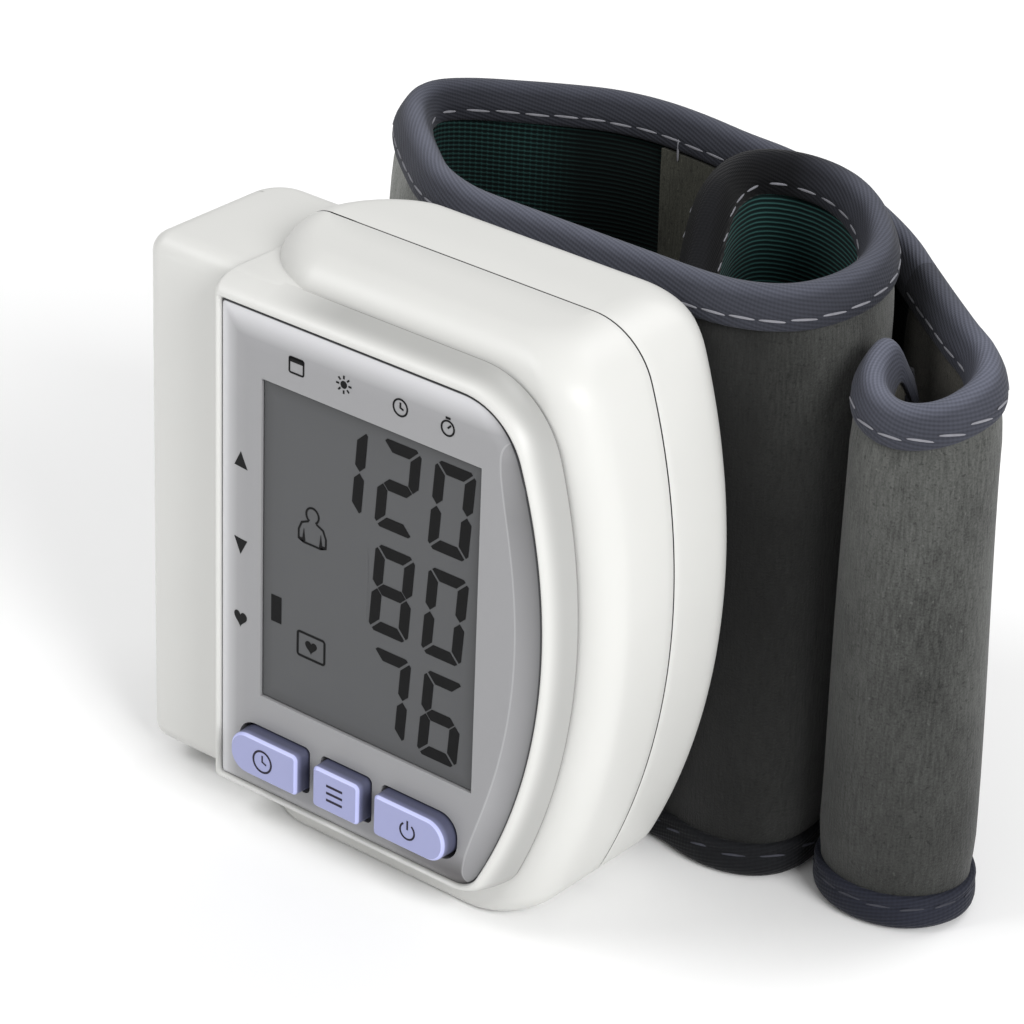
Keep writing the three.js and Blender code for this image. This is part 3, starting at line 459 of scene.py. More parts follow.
def battery_block():
    """A rounded box: height levels round over at both ends, and each level is an open U in plan,
    shrunk by the round-over. The cells of the grid that lie in the doorway are left out,
    and the doorway gets four short walls inwards."""
    turn = np.linspace(0, np.pi / 2, 9)
    climb = BLOCK_EDGE * (1 - np.sin(turn))[::-1]
    shrink_low = BLOCK_EDGE * (1 - np.cos(turn))[::-1]
    low, high = BLOCK_BOTTOM + climb, BLOCK_TOP - climb[::-1]
    z_door = [DOOR_LOW[2] - DOOR_GAP, DOOR_HIGH[2] + DOOR_GAP]
    between = np.concatenate([np.linspace(low[-1], z_door[0], 3)[1:], np.linspace(*z_door, 12)[1:]])
    z = np.concatenate([low, between, np.linspace(z_door[1], high[0], 3)[1:-1], high])
    shrink = np.concatenate([shrink_low, np.zeros(len(z) - len(low) - len(high)), shrink_low[::-1]])
    y0, y1 = BLOCK_FRONT + shrink, BLOCK_BACK - shrink
    x0 = CASE_LEFT + shrink
    r = (BLOCK_EDGE - shrink * 0.8)[:, None]
    r_back = (BLOCK_REAR_ROUND - shrink * 0.8)[:, None]
    ones = np.ones_like(z)
    back_x, back_y = arc(x0 + r_back[:, 0], y1 - r_back[:, 0], r_back, ones * np.pi / 2, ones * np.pi, 10)
    front_x, front_y = arc(x0 + r[:, 0], y0 + r[:, 0], r, ones * np.pi, ones * 1.5 * np.pi, 8)
    y_door = [DOOR_HIGH[1] + DOOR_GAP, DOOR_LOW[1] - DOOR_GAP]
    left_y = np.broadcast_to(np.linspace(*y_door, 6), (len(z), 6))
    left_x = np.broadcast_to(x0[:, None], left_y.shape)
    run = np.linspace(0, 1, 6)[None, :-1]
    top_x = BLOCK_END + (back_x[:, :1] - BLOCK_END) * run
    end_x = front_x[:, -1:] + (BLOCK_END - front_x[:, -1:]) * np.linspace(0, 1, 6)[None, 1:]
    plan_x = np.concatenate([top_x, back_x, left_x, front_x, end_x], axis=1)
    plan_y = np.concatenate([
        np.broadcast_to(y1[:, None], top_x.shape), back_y, left_y, front_y,
        np.broadcast_to(y0[:, None], end_x.shape),
    ], axis=1)
    wall = np.stack([plan_x, plan_y, np.broadcast_to(z[:, None], plan_x.shape)], axis=-1)
    rows, cols = wall.shape[:2]
    faces = grid_faces(rows, cols)
    centre = wall.reshape(-1, 3)[faces].mean(axis=1)
    in_door = np.abs(centre[:, 0] - CASE_LEFT) < 0.05
    in_door &= (centre[:, 1] > y_door[1]) & (centre[:, 1] < y_door[0])
    in_door &= (centre[:, 2] > z_door[0]) & (centre[:, 2] < z_door[1])
    rim = np.array([[y_door[k], z_door[j]] for k, j in ((0, 0), (1, 0), (1, 1), (0, 1))])
    sill = np.stack([np.column_stack([np.full(4, CASE_LEFT + d), rim]) for d in (0.0, DOORWAY_DEPTH)])
    ends = []
    for row in (wall[0], wall[-1]):
        half = cols // 2
        pair = np.stack([row[:half], row[::-1][:half]])
        ends.append((pair, grid_faces(2, half)))
    return joined((wall, faces[~in_door]), (sill, grid_faces(2, 4, wrap_cols=True)), *ends)


points, faces = joined(shoulder_half(1), battery_block())
in_joint = np.isclose(points[:, 1], PARTING + PARTING_GAP / 2)
add_piece(
    "rear_half", points, faces, white_plastic, "white_plastic", stands_for=["rear_shell"], shade=in_joint,
)

# Battery door: a thin snap-in lid in the block's left face, with a row of thumb ridges.
# It lifts straight off its bay.
DOOR_ROUND = 0.5
RIDGES, RIDGE_PITCH, RIDGE_HEIGHT = 5, 1.6, 0.35
RIDGE_START, RIDGE_HALF, RIDGE_FADE = 6.0, 3.2, 0.6


def battery_lid():
    """A plate whose outer face is a height map: flat, rounded down at its rim, with smooth ridges near one
    end."""
    y = np.concatenate([[0, 0.1, 0.3], np.linspace(0.6, 10.4, 24), [10.7, 10.9, 11.0]]) / 11.0
    z = np.concatenate([[0, 0.1, 0.3], np.linspace(0.6, 47.7, 150), [48.0, 48.2, 48.3]]) / 48.3
    size = DOOR_HIGH - DOOR_LOW
    yy, zz = np.meshgrid(DOOR_LOW[1] + y * size[1], DOOR_LOW[2] + z * size[2], indexing="ij")
    rim = np.minimum.reduce([yy - DOOR_LOW[1], DOOR_HIGH[1] - yy, zz - DOOR_LOW[2], DOOR_HIGH[2] - zz])
    sink = DOOR_ROUND * (1 - np.sqrt(1 - (1 - np.minimum(1, rim / DOOR_ROUND)) ** 2))
    along = (zz - DOOR_LOW[2] - RIDGE_START) / RIDGE_PITCH
    across = np.clip((RIDGE_HALF - np.abs(yy - DOOR_LOW[1] - size[1] / 2)) / RIDGE_FADE, 0, 1)
    ridge = np.where((along > 0) & (along < RIDGES), np.sin(np.pi * (along % 1.0)) ** 2, 0.0) * across
    outer = np.stack([CASE_LEFT + sink - RIDGE_HEIGHT * ridge, yy, zz], axis=-1)
    inner = outer.copy()
    inner[..., 0] = DOOR_HIGH[0]
    faces = grid_faces(*yy.shape)
    n, m = yy.shape
    index = np.arange(n * m).reshape(n, m)
    loop = np.concatenate([index[:, 0], index[-1, 1:], index[::-1, -1][1:], index[0, ::-1][1:-1]])
    walls = np.stack([loop, np.roll(loop, -1), np.roll(loop, -1) + n * m, loop + n * m], axis=1)
    points = np.concatenate([outer.reshape(-1, 3), inner.reshape(-1, 3)])
    return points, [*faces.tolist(), *(faces[:, ::-1] + n * m).tolist(), *walls.tolist()]


add_piece(
    "battery_lid", *battery_lid(), white_plastic, "white_plastic",
    body="battery_lid", stands_for=["battery_door"],
)

# Front frame: the white bezel that clips on over the display, a rounded bead round the grey panel.
# It is thin at the panel and spreads to the shoulder, most of all along its upper edge.
PANEL = dict(left=-16.3, right=26.5, low=5.45, high=61.25)
PANEL_BOW, PANEL_CENTRE, PANEL_SQUARE = 60.0, 35.5, 0.5
PANEL_CORNERS = np.array([4.0, 8.0])
SEAT_GAP = 0.3
SEAT_DEPTH = 1.9
FRAME_BOW, FRAME_CENTRE = 68.0, 36.0
FRAME_BACK, FRAME_BEAD = 4.05, 0.1
FRAME_CORNERS, FRAME_SQUARE = np.array([1.5, 2.5]), 0.4
FRAME_SPREAD = dict(left=1.2, high=1.75, right=1.3, low=0.85)
# FRAME_SHADE is painted shade on the bezel's outer slope; FRAME_LINE and FRAME_DARK give the dark joint line
# at the shoulder.
FRAME_LINE, FRAME_SHADE, FRAME_DARK = 0.16, 0.4, 0.8
FRAME_SHADE_FROM, FRAME_SHADE_FULL = -12.0, -2.0


def d_outline(left, right_reach, low, high, bow, centre, corners, square):
    """Closed D outline in x and z: the bowed right side, then two small square-cut corners on the left."""
    x, z = bowed_side(right_reach, low, high, bow, centre, *corners)
    left, low, high, square = np.broadcast_arrays(*map(np.atleast_1d, (left, low, high, square)))
    quarter = np.full(len(left), np.pi / 2)
    top = arc(left + square, high - square, square[:, None], quarter, 2 * quarter, 6)
    foot = arc(left + square, low + square, square[:, None], 2 * quarter, 3 * quarter, 6)
    edge = [np.linspace(a, b, 12, axis=1)[:, 1:-1] for a, b in (
        (x[:, -1], top[0][:, 0]), (z[:, -1], top[1][:, 0]),
        (top[0][:, -1], foot[0][:, 0]), (top[1][:, -1], foot[1][:, 0]),
        (foot[0][:, -1], x[:, 0]), (foot[1][:, -1], z[:, 0]),
    )]
    xs = np.concatenate([x, edge[0], top[0], edge[2], foot[0], edge[4]], axis=1)
    zs = np.concatenate([z, edge[1], top[1], edge[3], foot[1], edge[5]], axis=1)
    return xs, zs


def bezel():
    """Rings of the D outline from the seat's floor, up its wall, over a round bead, then out and back
    along a quarter of an ellipse to the shoulder. Growth is counted from the seat, edge by edge."""
    wall_y = np.array([SEAT_DEPTH, 1.2, 0.5, 0.22, 0.07, 0.0])
    wall_g = np.array([-0.2, -0.2, -0.2, -0.16, -0.05, FRAME_BEAD])
    turn = np.sort(np.append(np.linspace(0, np.pi / 2, 16)[1:], np.arccos(FRAME_LINE / FRAME_BACK)))
    side_y = FRAME_BACK * (1 - np.cos(turn))
    side_g = np.sin(turn) ** 1.15
    y = np.concatenate([wall_y, side_y, [FRAME_BACK + 0.05, FRAME_BACK + 0.05]])
    rest = np.concatenate([np.zeros(6), side_g, [0.93, 0.3]])
    bead = np.concatenate([wall_g, np.full(16, FRAME_BEAD), [FRAME_BEAD, 0.0]])
    grow = {k: bead + (v - FRAME_BEAD) * rest for k, v in FRAME_SPREAD.items()}
    share = np.clip(y / FRAME_BACK, 0, 1)
    x, z = d_outline(
        PANEL["left"] - SEAT_GAP - grow["left"], PANEL["right"] + SEAT_GAP + grow["right"],
        PANEL["low"] - SEAT_GAP - grow["low"], PANEL["high"] + SEAT_GAP + grow["high"],
        PANEL_BOW + (FRAME_BOW - PANEL_BOW) * share, FRAME_CENTRE,
        PANEL_CORNERS[:, None] + FRAME_CORNERS[:, None] * share, PANEL_SQUARE + FRAME_SQUARE * share,
    )
    rings = np.stack([x, np.broadcast_to(y[:, None], x.shape), z], axis=-1)
    # Painted shade on the bead's outer slope, fading out towards the left; the last rows are the dark joint
    # line.
    shade = FRAME_SHADE * rise(rest, 0.3, 0.9)
    shade[-3:] = FRAME_DARK
    shade = shade[:, None] * rise(x, FRAME_SHADE_FROM, FRAME_SHADE_FULL)
    return rings.reshape(-1, 3), grid_faces(*x.shape, wrap_cols=True), shade


points, faces, shade = bezel()
add_piece("bezel", points, faces, white_plastic, "white_plastic", stands_for=["front_frame"], shade=shade)

# Grey panel: a painted plastic insert with eased edges, a window for the display and three key holes.
# Its edges fall away, gently on the left and above, and as a crisp slope along the bowed right side.
PANEL_BACK, PANEL_SPACING = 1.6, 0.55
WINDOW = dict(x0=-10.3, x1=18.6, z0=17.3, z1=54.3)
KEY_LOW, KEY_HIGH = 8.3, 13.3
KEY_GAP = 0.3
KEY_END, KEY_CORNER = 2.4, 0.7
KEYS = {
    "time": dict(x0=-13.0, x1=-3.5, left=KEY_END, right=KEY_CORNER),
    "memory": dict(x0=-1.4, x1=5.1, left=KEY_CORNER, right=KEY_CORNER),
    "power": dict(x0=7.0, x1=16.7, left=KEY_CORNER, right=KEY_END),
}
PANEL_EDGE_Y, PANEL_FACE_Y = 0.5, -0.15
EASE = dict(left=4.4, high=2.6, low=1.2)
CORNER_EASE, EASE_POWER = 1.6, 1.6
SLOPE, SLOPE_MIDDLE, SLOPE_HALF, SLOPE_POWER = 3.0, 32.0, 26.0, 6


def pill(x0, x1, z0, z1, left, right_round, steps=10):
    """Closed outline of a key: a rectangle whose left and right corners have their own radii."""
    corners = ((x1, z0, right_round, -90), (x1, z1, right_round, 0), (x0, z1, left, 90), (x0, z0, left, 180))
    points = []
    for x, z, radius, start in corners:
        cx = x - radius if x == x1 else x + radius
        cz = z - radius if z == z1 else z + radius
        angle = np.radians(start + np.linspace(0, 90, steps + 1))
        points.append(np.column_stack([cx + radius * np.cos(angle), cz + radius * np.sin(angle)]))
    return np.concatenate(points)


def slope_width(z):
    """Width of the sloped right side: a long crescent, full in the middle and rounded off at both ends."""
    share = np.clip(np.abs(z - SLOPE_MIDDLE) / SLOPE_HALF, 0, 1) ** SLOPE_POWER
    return SLOPE * np.sqrt(1 - share) + 0.02


def bow_at(z, inset):
    """Where the panel's bowed right side, drawn in by an inset, lies at a height."""
    return PANEL["right"] - PANEL_BOW + np.sqrt((PANEL_BOW - inset) ** 2 - (z - PANEL_CENTRE) ** 2)


def panel_height(x, z):
    """Depth of the panel's face: level in the middle, curving back over each edge's own width and
    straight back along the bowed right side and its two round corners. The deepest edge counts."""
    reach = np.hypot(x - PANEL["right"] + PANEL_BOW, z - PANEL_CENTRE)
    gap = dict(left=x - PANEL["left"], low=z - PANEL["low"], high=PANEL["high"] - z)
    fall = [np.clip(1 - gap[k] / EASE[k], 0, 1) ** EASE_POWER for k in EASE]
    fall.append(np.clip(1 - (PANEL_BOW - reach) / slope_width(z), 0, 1))
    for edge, side, radius in ((PANEL["low"], -1, PANEL_CORNERS[0]), (PANEL["high"], 1, PANEL_CORNERS[1])):
        corner_z = edge - side * radius
        corner_x = bow_at(corner_z, radius)
        from_arc = radius - np.hypot(x - corner_x, z - corner_z)
        in_corner = (x > corner_x) & (side * (z - corner_z) > 0)
        fall.append(np.where(in_corner, np.clip(1 - from_arc / CORNER_EASE, 0, 1) ** EASE_POWER, 0))
    return PANEL_FACE_Y + (PANEL_EDGE_Y - PANEL_FACE_Y) * np.maximum.reduce(fall)


def within(outline, x, z):
    """True for each point that a ray to the right leaves the closed outline an odd number of times."""
    a, b = outline, np.roll(outline, -1, axis=0)
    crosses = (a[:, 1] > z[:, None]) != (b[:, 1] > z[:, None])
    with np.errstate(divide="ignore", invalid="ignore"):
        at = a[:, 0] + (b[:, 0] - a[:, 0]) * (z[:, None] - a[:, 1]) / (b[:, 1] - a[:, 1])
    return (crosses & (x[:, None] < at)).sum(axis=1) % 2 == 1


def pierced_plate(outline, holes, ridge, rim_ring, height, back_y, spacing):
    """A plate cut from a flat outline with holes. The outline, the holes, a ridge line, a ring near the rim
    and a grid of points are joined by a flat triangulation; the front follows the height function, and
    walls run back."""
    loops = [outline, *holes]
    low, high = outline.min(axis=0), outline.max(axis=0)
    gx, gz = np.meshgrid(np.arange(low[0], high[0], spacing), np.arange(low[1], high[1], spacing))
    inside = np.column_stack([gx.ravel(), gz.ravel()])
    inside = inside[within(rim_ring, gx.ravel(), gz.ravel())]
    points = np.concatenate([*loops, ridge, rim_ring, inside])
    starts = np.cumsum([0, *map(len, loops)])
    edges = [(int(a + i), int(a + (i + 1) % n)) for a, n in zip(starts, map(len, loops)) for i in range(n)]
    edges += [(int(starts[-1] + i), int(starts[-1] + i + 1)) for i in range(len(ridge) - 1)]
    ring_start, ring_count = int(starts[-1] + len(ridge)), len(rim_ring)
    edges += [(ring_start + i, ring_start + (i + 1) % ring_count) for i in range(ring_count)]
    faces = [list(range(int(a), int(a + len(loop)))) for a, loop in zip(starts, loops)]
    cut = delaunay_2d_cdt([tuple(p) for p in points.tolist()], edges, faces, 1, 1e-5)
    flat = np.array([tuple(p) for p in cut[0]])
    in_holes = set(range(1, len(loops)))
    tris = np.array([f for f, source in zip(cut[2], cut[5]) if 0 in source and not in_holes & set(source)])
    front = np.column_stack([flat[:, 0], height(flat[:, 0], flat[:, 1]), flat[:, 1]])
    rear = np.column_stack([flat[:, 0], np.full(len(flat), back_y), flat[:, 1]])
    sides = np.concatenate([tris[:, [0, 1]], tris[:, [1, 2]], tris[:, [2, 0]]])
    _, first, count = np.unique(np.sort(sides, axis=1), axis=0, return_index=True, return_counts=True)
    rim = sides[first[count == 1]]
    n = len(flat)
    walls = np.column_stack([rim[:, 1], rim[:, 0], rim[:, 0] + n, rim[:, 1] + n])
    return np.concatenate([front, rear]), [*tris.tolist(), *(tris[:, ::-1] + n).tolist(), *walls.tolist()]


def case_axes(material):
    """The place on the piece in case millimetres, as three outputs."""
    moved = {"Vector": own_place(material), "Scale": (1 / MM,) * 3, "Location": tuple((-ORIGIN).tolist())}
    place = add_node(material, "ShaderNodeMapping", moved).outputs["Vector"]
    axes = add_node(material, "ShaderNodeSeparateXYZ", {"Vector": place})
    return [axes.outputs[k] for k in "XYZ"]


def sum_of(material, kind, a, b):
    """One arithmetic node of two values."""
    return add_node(material, "ShaderNodeMath", {0: a, 1: b}, operation=kind).outputs[0]


PAINT_RANGE = 2.5


def greys(*stops):
    """Ramp stops of plain grey, counted in panel tones; the ramp's full white is PAINT_RANGE tones."""
    return [(spot, (*[tone / PAINT_RANGE] * 3, 1.0)) for spot, tone in stops]


# Painted light on the panel: the left and upper ramps are painted highlights along the eased edges, the side
# ramp paints light and shade down the right slope, the low ramp is painted shade low on the right and the
# ridge glint is a painted highlight.
LEFT_GREYS = greys((0.0, 2.5), (0.33, 1.55), (0.65, 1.08), (1.0, 1.0))
HIGH_GREYS = greys((0.0, 2.5), (0.42, 1.6), (0.72, 1.05), (1.0, 1.0))
SIDE_GREYS = greys((0.0, 0.95), (0.2, 1.05), (0.35, 0.92), (0.55, 0.82), (0.8, 0.68), (0.9, 0.85), (1.0, 1.5))
LOW_PAINTED_SHADE = [(0.0, (0.16, 0.14, 0.14, 1.0)), (0.4, (0.27, 0.25, 0.25, 1.0)), (1.0, (1.0, 1.0, 1.0, 1.0))]
EDGE_TONES = 4.0
RIDGE_GLINT, RIDGE_WIDTH = 0.1, 0.1


def panel_paint_and_light(name, colour):
    """Satin paint carrying painted light: painted highlights where the left and upper edges fall away,
    painted shade low on the right, a tone down the sloped right side painted light above and dark below
    with a painted highlight on its ridge, and a thin dark joint line at the very rim."""
    material = new_finish(name, colour, 0.4, Coat_Weight=0.15, Coat_Roughness=0.2)
    x, _, z = case_axes(material)

    def value(kind, a, b=0.0):
        return sum_of(material, kind, a, b)

    left, low = value("SUBTRACT", x, PANEL["left"]), value("SUBTRACT", z, PANEL["low"])
    high = value("SUBTRACT", PANEL["high"], z)
    across = value("POWER", value("SUBTRACT", x, PANEL["right"] - PANEL_BOW), 2.0)
    upward = value("SUBTRACT", z, PANEL_CENTRE)
    upward = value("MULTIPLY", upward, upward)
    right = value("SUBTRACT", PANEL_BOW, value("SQRT", value("ADD", across, upward)))
    pale_left = ramp(material, value("DIVIDE", left, EDGE_TONES), LEFT_GREYS)
    pale_high = ramp(material, value("DIVIDE", high, EDGE_TONES), HIGH_GREYS)
    face = blended(material, "LIGHTEN", pale_left, pale_high)
    deep_low = ramp(material, value("DIVIDE", low, EDGE_TONES), LOW_PAINTED_SHADE)
    face = blended(material, "MULTIPLY", face, deep_low, map_range(material, x, 4.0, 18.0))
    side = ramp(material, map_range(material, z, PANEL["low"], PANEL["high"]), SIDE_GREYS)
    bend = value("ABSOLUTE", value("DIVIDE", value("SUBTRACT", z, SLOPE_MIDDLE), SLOPE_HALF))
    bend = value("MAXIMUM", value("SUBTRACT", 1.0, value("POWER", bend, SLOPE_POWER)))
    width = value("MULTIPLY", value("SQRT", bend), SLOPE)
    fade = map_range(material, right, 0.0, SLOPE, 0.72, 1.15)
    fade = add_node(material, "ShaderNodeCombineXYZ", dict.fromkeys("XYZ", fade)).outputs[0]
    side = blended(material, "MULTIPLY", side, fade)
    tone = blended(material, "MIX", face, side, value("LESS_THAN", right, width))
    ridge = value("COMPARE", right, width)
    ridge.node.inputs[2].default_value = RIDGE_WIDTH
    tone = blended(material, "MIX", tone, blended(material, "ADD", tone, (*[RIDGE_GLINT] * 3, 1.0)), ridge)
    tone = blended(material, "MULTIPLY", tone, shaded(colour, PAINT_RANGE))
    shade = add_node(material, "ShaderNodeAttribute", attribute_name="shade").outputs["Fac"]
    tone = blended(material, "MIX", tone, JOINT_AND_SHADE_DARK, map_range(material, shade, 0.1, 0.4))
    grain = bumped(material, noise(material, own_place(material), 6000.0, 2.0), 0.08, EGGSHELL_DEPTH)
    into_shader(material, Base_Color=tone, Normal=grain)
    return material


RIM_LINE = dict(left=0.1, right=0.37, low=0.05, high=0.32)
RIM_CORNERS = np.array([0.2, 0.9])


def panel_outline(inset):
    """The panel's outline, drawn in at each edge by a share of its rim line."""
    x, z = d_outline(
        PANEL["left"] + inset * RIM_LINE["left"], PANEL["right"] - inset * RIM_LINE["right"],
        PANEL["low"] + inset * RIM_LINE["low"], PANEL["high"] - inset * RIM_LINE["high"],
        PANEL_BOW, PANEL_CENTRE, PANEL_CORNERS - inset * RIM_CORNERS, PANEL_SQUARE,
    )
    return np.column_stack([x[0], z[0]])


window_corners = (("x0", "z0"), ("x1", "z0"), ("x1", "z1"), ("x0", "z1"))
window_hole = np.array([[WINDOW[x], WINDOW[z]] for x, z in window_corners])
key_holes = [
    pill(k["x0"] - KEY_GAP, k["x1"] + KEY_GAP, KEY_LOW - KEY_GAP, KEY_HIGH + KEY_GAP, k["left"], k["right"])
    for k in KEYS.values()
]
RIDGE_REACH, RIM_SHARE = 0.98, 0.97
ridge_z = np.linspace(SLOPE_MIDDLE - SLOPE_HALF * RIDGE_REACH, SLOPE_MIDDLE + SLOPE_HALF * RIDGE_REACH, 110)
ridge_line = np.column_stack([bow_at(ridge_z, slope_width(ridge_z)), ridge_z])
grey_paint_and_light = panel_paint_and_light("grey_paint_and_light", linear(143, 143, 145))
points, faces = pierced_plate(
    panel_outline(0.0), [window_hole, *key_holes], ridge_line, panel_outline(1.0), panel_height,
    PANEL_BACK, PANEL_SPACING,
)
at_rim = ~within(panel_outline(RIM_SHARE), points[:, 0], points[:, 2])
add_piece("grey_panel", points, faces, grey_paint_and_light, "grey_panel", stands_for=["front_panel"], shade=at_rim)

# Display: a smoked window flush in the panel, with the dark figures of the crystal behind it.
# The figures are thin films just proud of the window's face, so they read from every side.
LENS_FACE, LENS_GAP, LENS_EASE = 0.1, 0.14, 0.08
INK, INK_PROUD = 0.03, 0.005


def box_with_ease(x0, x1, y0, y1, z0, z1, ease):
    """A thin block: nested rectangles from the back edge, over a rounded front edge, to the flat face."""
    turn = np.linspace(0, np.pi / 2, 5)
    inset = np.concatenate([[0.0], ease * (1 - np.cos(turn)), [min(x1 - x0, z1 - z0) / 2 - 0.01]])
    depth = np.concatenate([[y1], y0 + ease * (1 - np.sin(turn)), [y0]])
    corners = ((x0, 1, z0, 1), (x1, -1, z0, 1), (x1, -1, z1, -1), (x0, 1, z1, -1))
    rings = [[[x + i * right, y, z + i * up] for x, right, z, up in corners] for i, y in zip(inset, depth)]
    return np.array(rings), grid_faces(len(inset), 4, wrap_cols=True)


def smoked_window(name, colour):
    """Still grey crystal under a clear hard coat, with painted shade along its edges."""
    material = new_finish(name, colour, 0.42, Coat_Weight=0.1, Coat_Roughness=0.12, Specular_IOR_Level=0.3)
    x, _, z = case_axes(material)
    pairs = ((x, WINDOW["x0"]), (WINDOW["x1"], x), (z, WINDOW["z0"]), (WINDOW["z1"], z))
    near = [sum_of(material, "SUBTRACT", *pair) for pair in pairs]
    ends, sides = (sum_of(material, "MINIMUM", *near[k:k + 2]) for k in (0, 2))
    edge = sum_of(material, "DIVIDE", sum_of(material, "MINIMUM", ends, sides), EDGE_TONES)
    # Painted shade: the tone darkens within a few millimetres of the window's edges.
    tone = ramp(material, edge, shades(colour, (0.0, 0.45), (0.06, 0.75), (0.4, 0.95), (1.0, 1.0)))
    into_shader(material, Base_Color=tone)
    return material


crystal = smoked_window("smoked_window", linear(76, 77, 79))
lens_x, lens_z = ((WINDOW[axis + "0"] + LENS_GAP, WINDOW[axis + "1"] - LENS_GAP) for axis in "xz")
lens_block = joined(box_with_ease(*lens_x, LENS_FACE, PANEL_BACK, *lens_z, LENS_EASE))
add_piece("display_window", *lens_block, crystal, "display_lens", stands_for=["display_lens"], flat=True)


def film(shapes, y, thickness=INK):
    """Flat shapes as thin films: each outline is a face in front, one behind and a wall between.
    A shape with two outlines of equal length is the band between them."""
    parts = []
    for shape in shapes:
        loops = [np.asarray(s, float) for s in (shape if isinstance(shape, tuple) else (shape,))]
        n = len(loops[0])
        depths = (y - thickness, y)
        layers = [np.column_stack([s[:, 0], np.full(n, d), s[:, 1]]) for s in loops for d in depths]
        if len(loops) == 1:
            points = np.concatenate(layers)
            front, back = list(range(n)), list(range(2 * n - 1, n - 1, -1))
            faces = [front, back, *grid_faces(2, n, wrap_cols=True).tolist()]
        else:
            points = np.concatenate([layers[k] for k in (0, 2, 3, 1)])
            faces = grid_faces(4, n, wrap_rows=True, wrap_cols=True).tolist()
        parts.append((points, faces))
    return joined(*parts)


def disc(x, z, radius, steps=28, start=0.0, stop=360.0):
    """Points round a circle or an arc."""
    closed = stop - start >= 360
    angle = np.radians(np.linspace(start, stop, steps + (not closed), endpoint=not closed))
    return np.column_stack([x + radius * np.cos(angle), z + radius * np.sin(angle)])


def stroke(points, width, closed=False):
    """A line of even width along points: both sides stand off by half the width along the mean normal."""
    p = np.asarray(points, float)
    ahead = np.roll(p, -1, axis=0) - p
    behind = p - np.roll(p, 1, axis=0)
    if not closed:
        ahead[-1], behind[0] = behind[-1], ahead[0]
    ahead /= np.linalg.norm(ahead, axis=1)[:, None]
    behind /= np.linalg.norm(behind, axis=1)[:, None]
    mean = ahead + behind
    mean /= np.maximum(np.linalg.norm(mean, axis=1), 1e-6)[:, None]
    reach = width / 2 / np.maximum(0.35, (mean * ahead).sum(axis=1))
    off = np.column_stack([-mean[:, 1], mean[:, 0]]) * reach[:, None]
    if closed:
        return (p + off, p - off)
    return np.concatenate([p + off, (p - off)[::-1]])


def rounded(x, z, half_x, half_z, radius, steps=6):
    """A rectangle with round corners about a centre."""
    return pill(x - half_x, x + half_x, z - half_z, z + half_z, radius, radius, steps)


DIGIT_HEIGHT, DIGIT_WIDTH, DIGIT_PITCH = 10.1, 5.2, 7.0
BAR, BAR_GAP, BAR_CUT, SLANT = 1.3, 0.2, 0.7, 0.08
LIT = {"0": "abcdef", "1": "bc", "2": "abged", "6": "acdefg", "7": "abc", "8": "abcdefg"}


def digit(figure, x, z):
    """Seven-bar figure with its lower left corner at x, z: bars are long hexagons, mitred where they meet."""
    h, w, b, g, c = DIGIT_HEIGHT, DIGIT_WIDTH, BAR, BAR_GAP / 2, BAR_CUT
    m = h / 2

    def level(z0, up):
        if up == 0:
            return [
                (b / 2 + g, z0), (b + g, z0 - b / 2), (w - b - g, z0 - b / 2),
                (w - b / 2 - g, z0), (w - b - g, z0 + b / 2), (b + g, z0 + b / 2),
            ]
        half = [
            (c / 2 + g, c / 2 - g), (c, 0.0), (w - c, 0.0),
            (w - c / 2 - g, c / 2 - g), (w - b - 2 * g, b), (b + 2 * g, b),
        ]
        return [(px, z0 + up * pz) for px, pz in half]

    def upright(x0, inward, z0, up):
        half = [
            (0.0, c), (c / 2 - g, c / 2 + g), (b, b + 2 * g),
            (b, m - b / 2 - g), (b / 2, m - g), (0.0, m - b / 2 - g),
        ]
        return [(x0 + inward * px, z0 + up * pz) for px, pz in half]

    bars = {
        "d": level(0.0, 1), "a": level(h, -1), "g": level(m, 0),
        "e": upright(0.0, 1, 0.0, 1), "f": upright(0.0, 1, h, -1),
        "c": upright(w, -1, 0.0, 1), "b": upright(w, -1, h, -1),
    }
    return [np.array([(x + px + SLANT * pz, z + pz) for px, pz in bars[k]]) for k in LIT[figure]]


READINGS = (("120", 17.0, 43.1), ("80", 16.5, 31.0), ("76", 16.3, 19.1))
lit_bars = [
    bar
    for figures, right_edge, z in READINGS
    for place_from_right, figure in enumerate(figures[::-1])
    for bar in digit(figure, right_edge - DIGIT_WIDTH - DIGIT_PITCH * place_from_right, z)
]
PERSON_LINE = (
    (-4.0, 40.2), (-4.9, 39.8), (-5.3, 38.9), (-5.3, 37.9), (-4.7, 37.9), (-4.6, 38.9), (-4.5, 37.6),
    (-2.4, 37.6), (-2.3, 38.9), (-2.2, 37.9), (-1.6, 37.9), (-1.6, 38.9), (-2.0, 39.8), (-2.9, 40.2),
)
person = [stroke(disc(-3.45, 41.0, 0.85, 22, -60, 240), 0.22), stroke(PERSON_LINE, 0.22)]
pulse_bar = [np.array([(-9.0, 26.8), (-7.6, 26.8), (-7.6, 29.9), (-9.0, 29.9)])]
heart_angle = np.linspace(0, 2 * np.pi, 40, endpoint=False)
heart_z = 13 * np.cos(heart_angle) - 5 * np.cos(2 * heart_angle)
heart_z = heart_z - 2 * np.cos(3 * heart_angle) - np.cos(4 * heart_angle)
HEART = np.column_stack([16 * np.sin(heart_angle) ** 3, heart_z]) / 17.0
heart_box = [
    stroke(rounded(-3.45, 25.6, 1.85, 1.4, 0.3), 0.26, closed=True),
    HEART * 0.85 + np.array([-3.45, 25.65]),
]


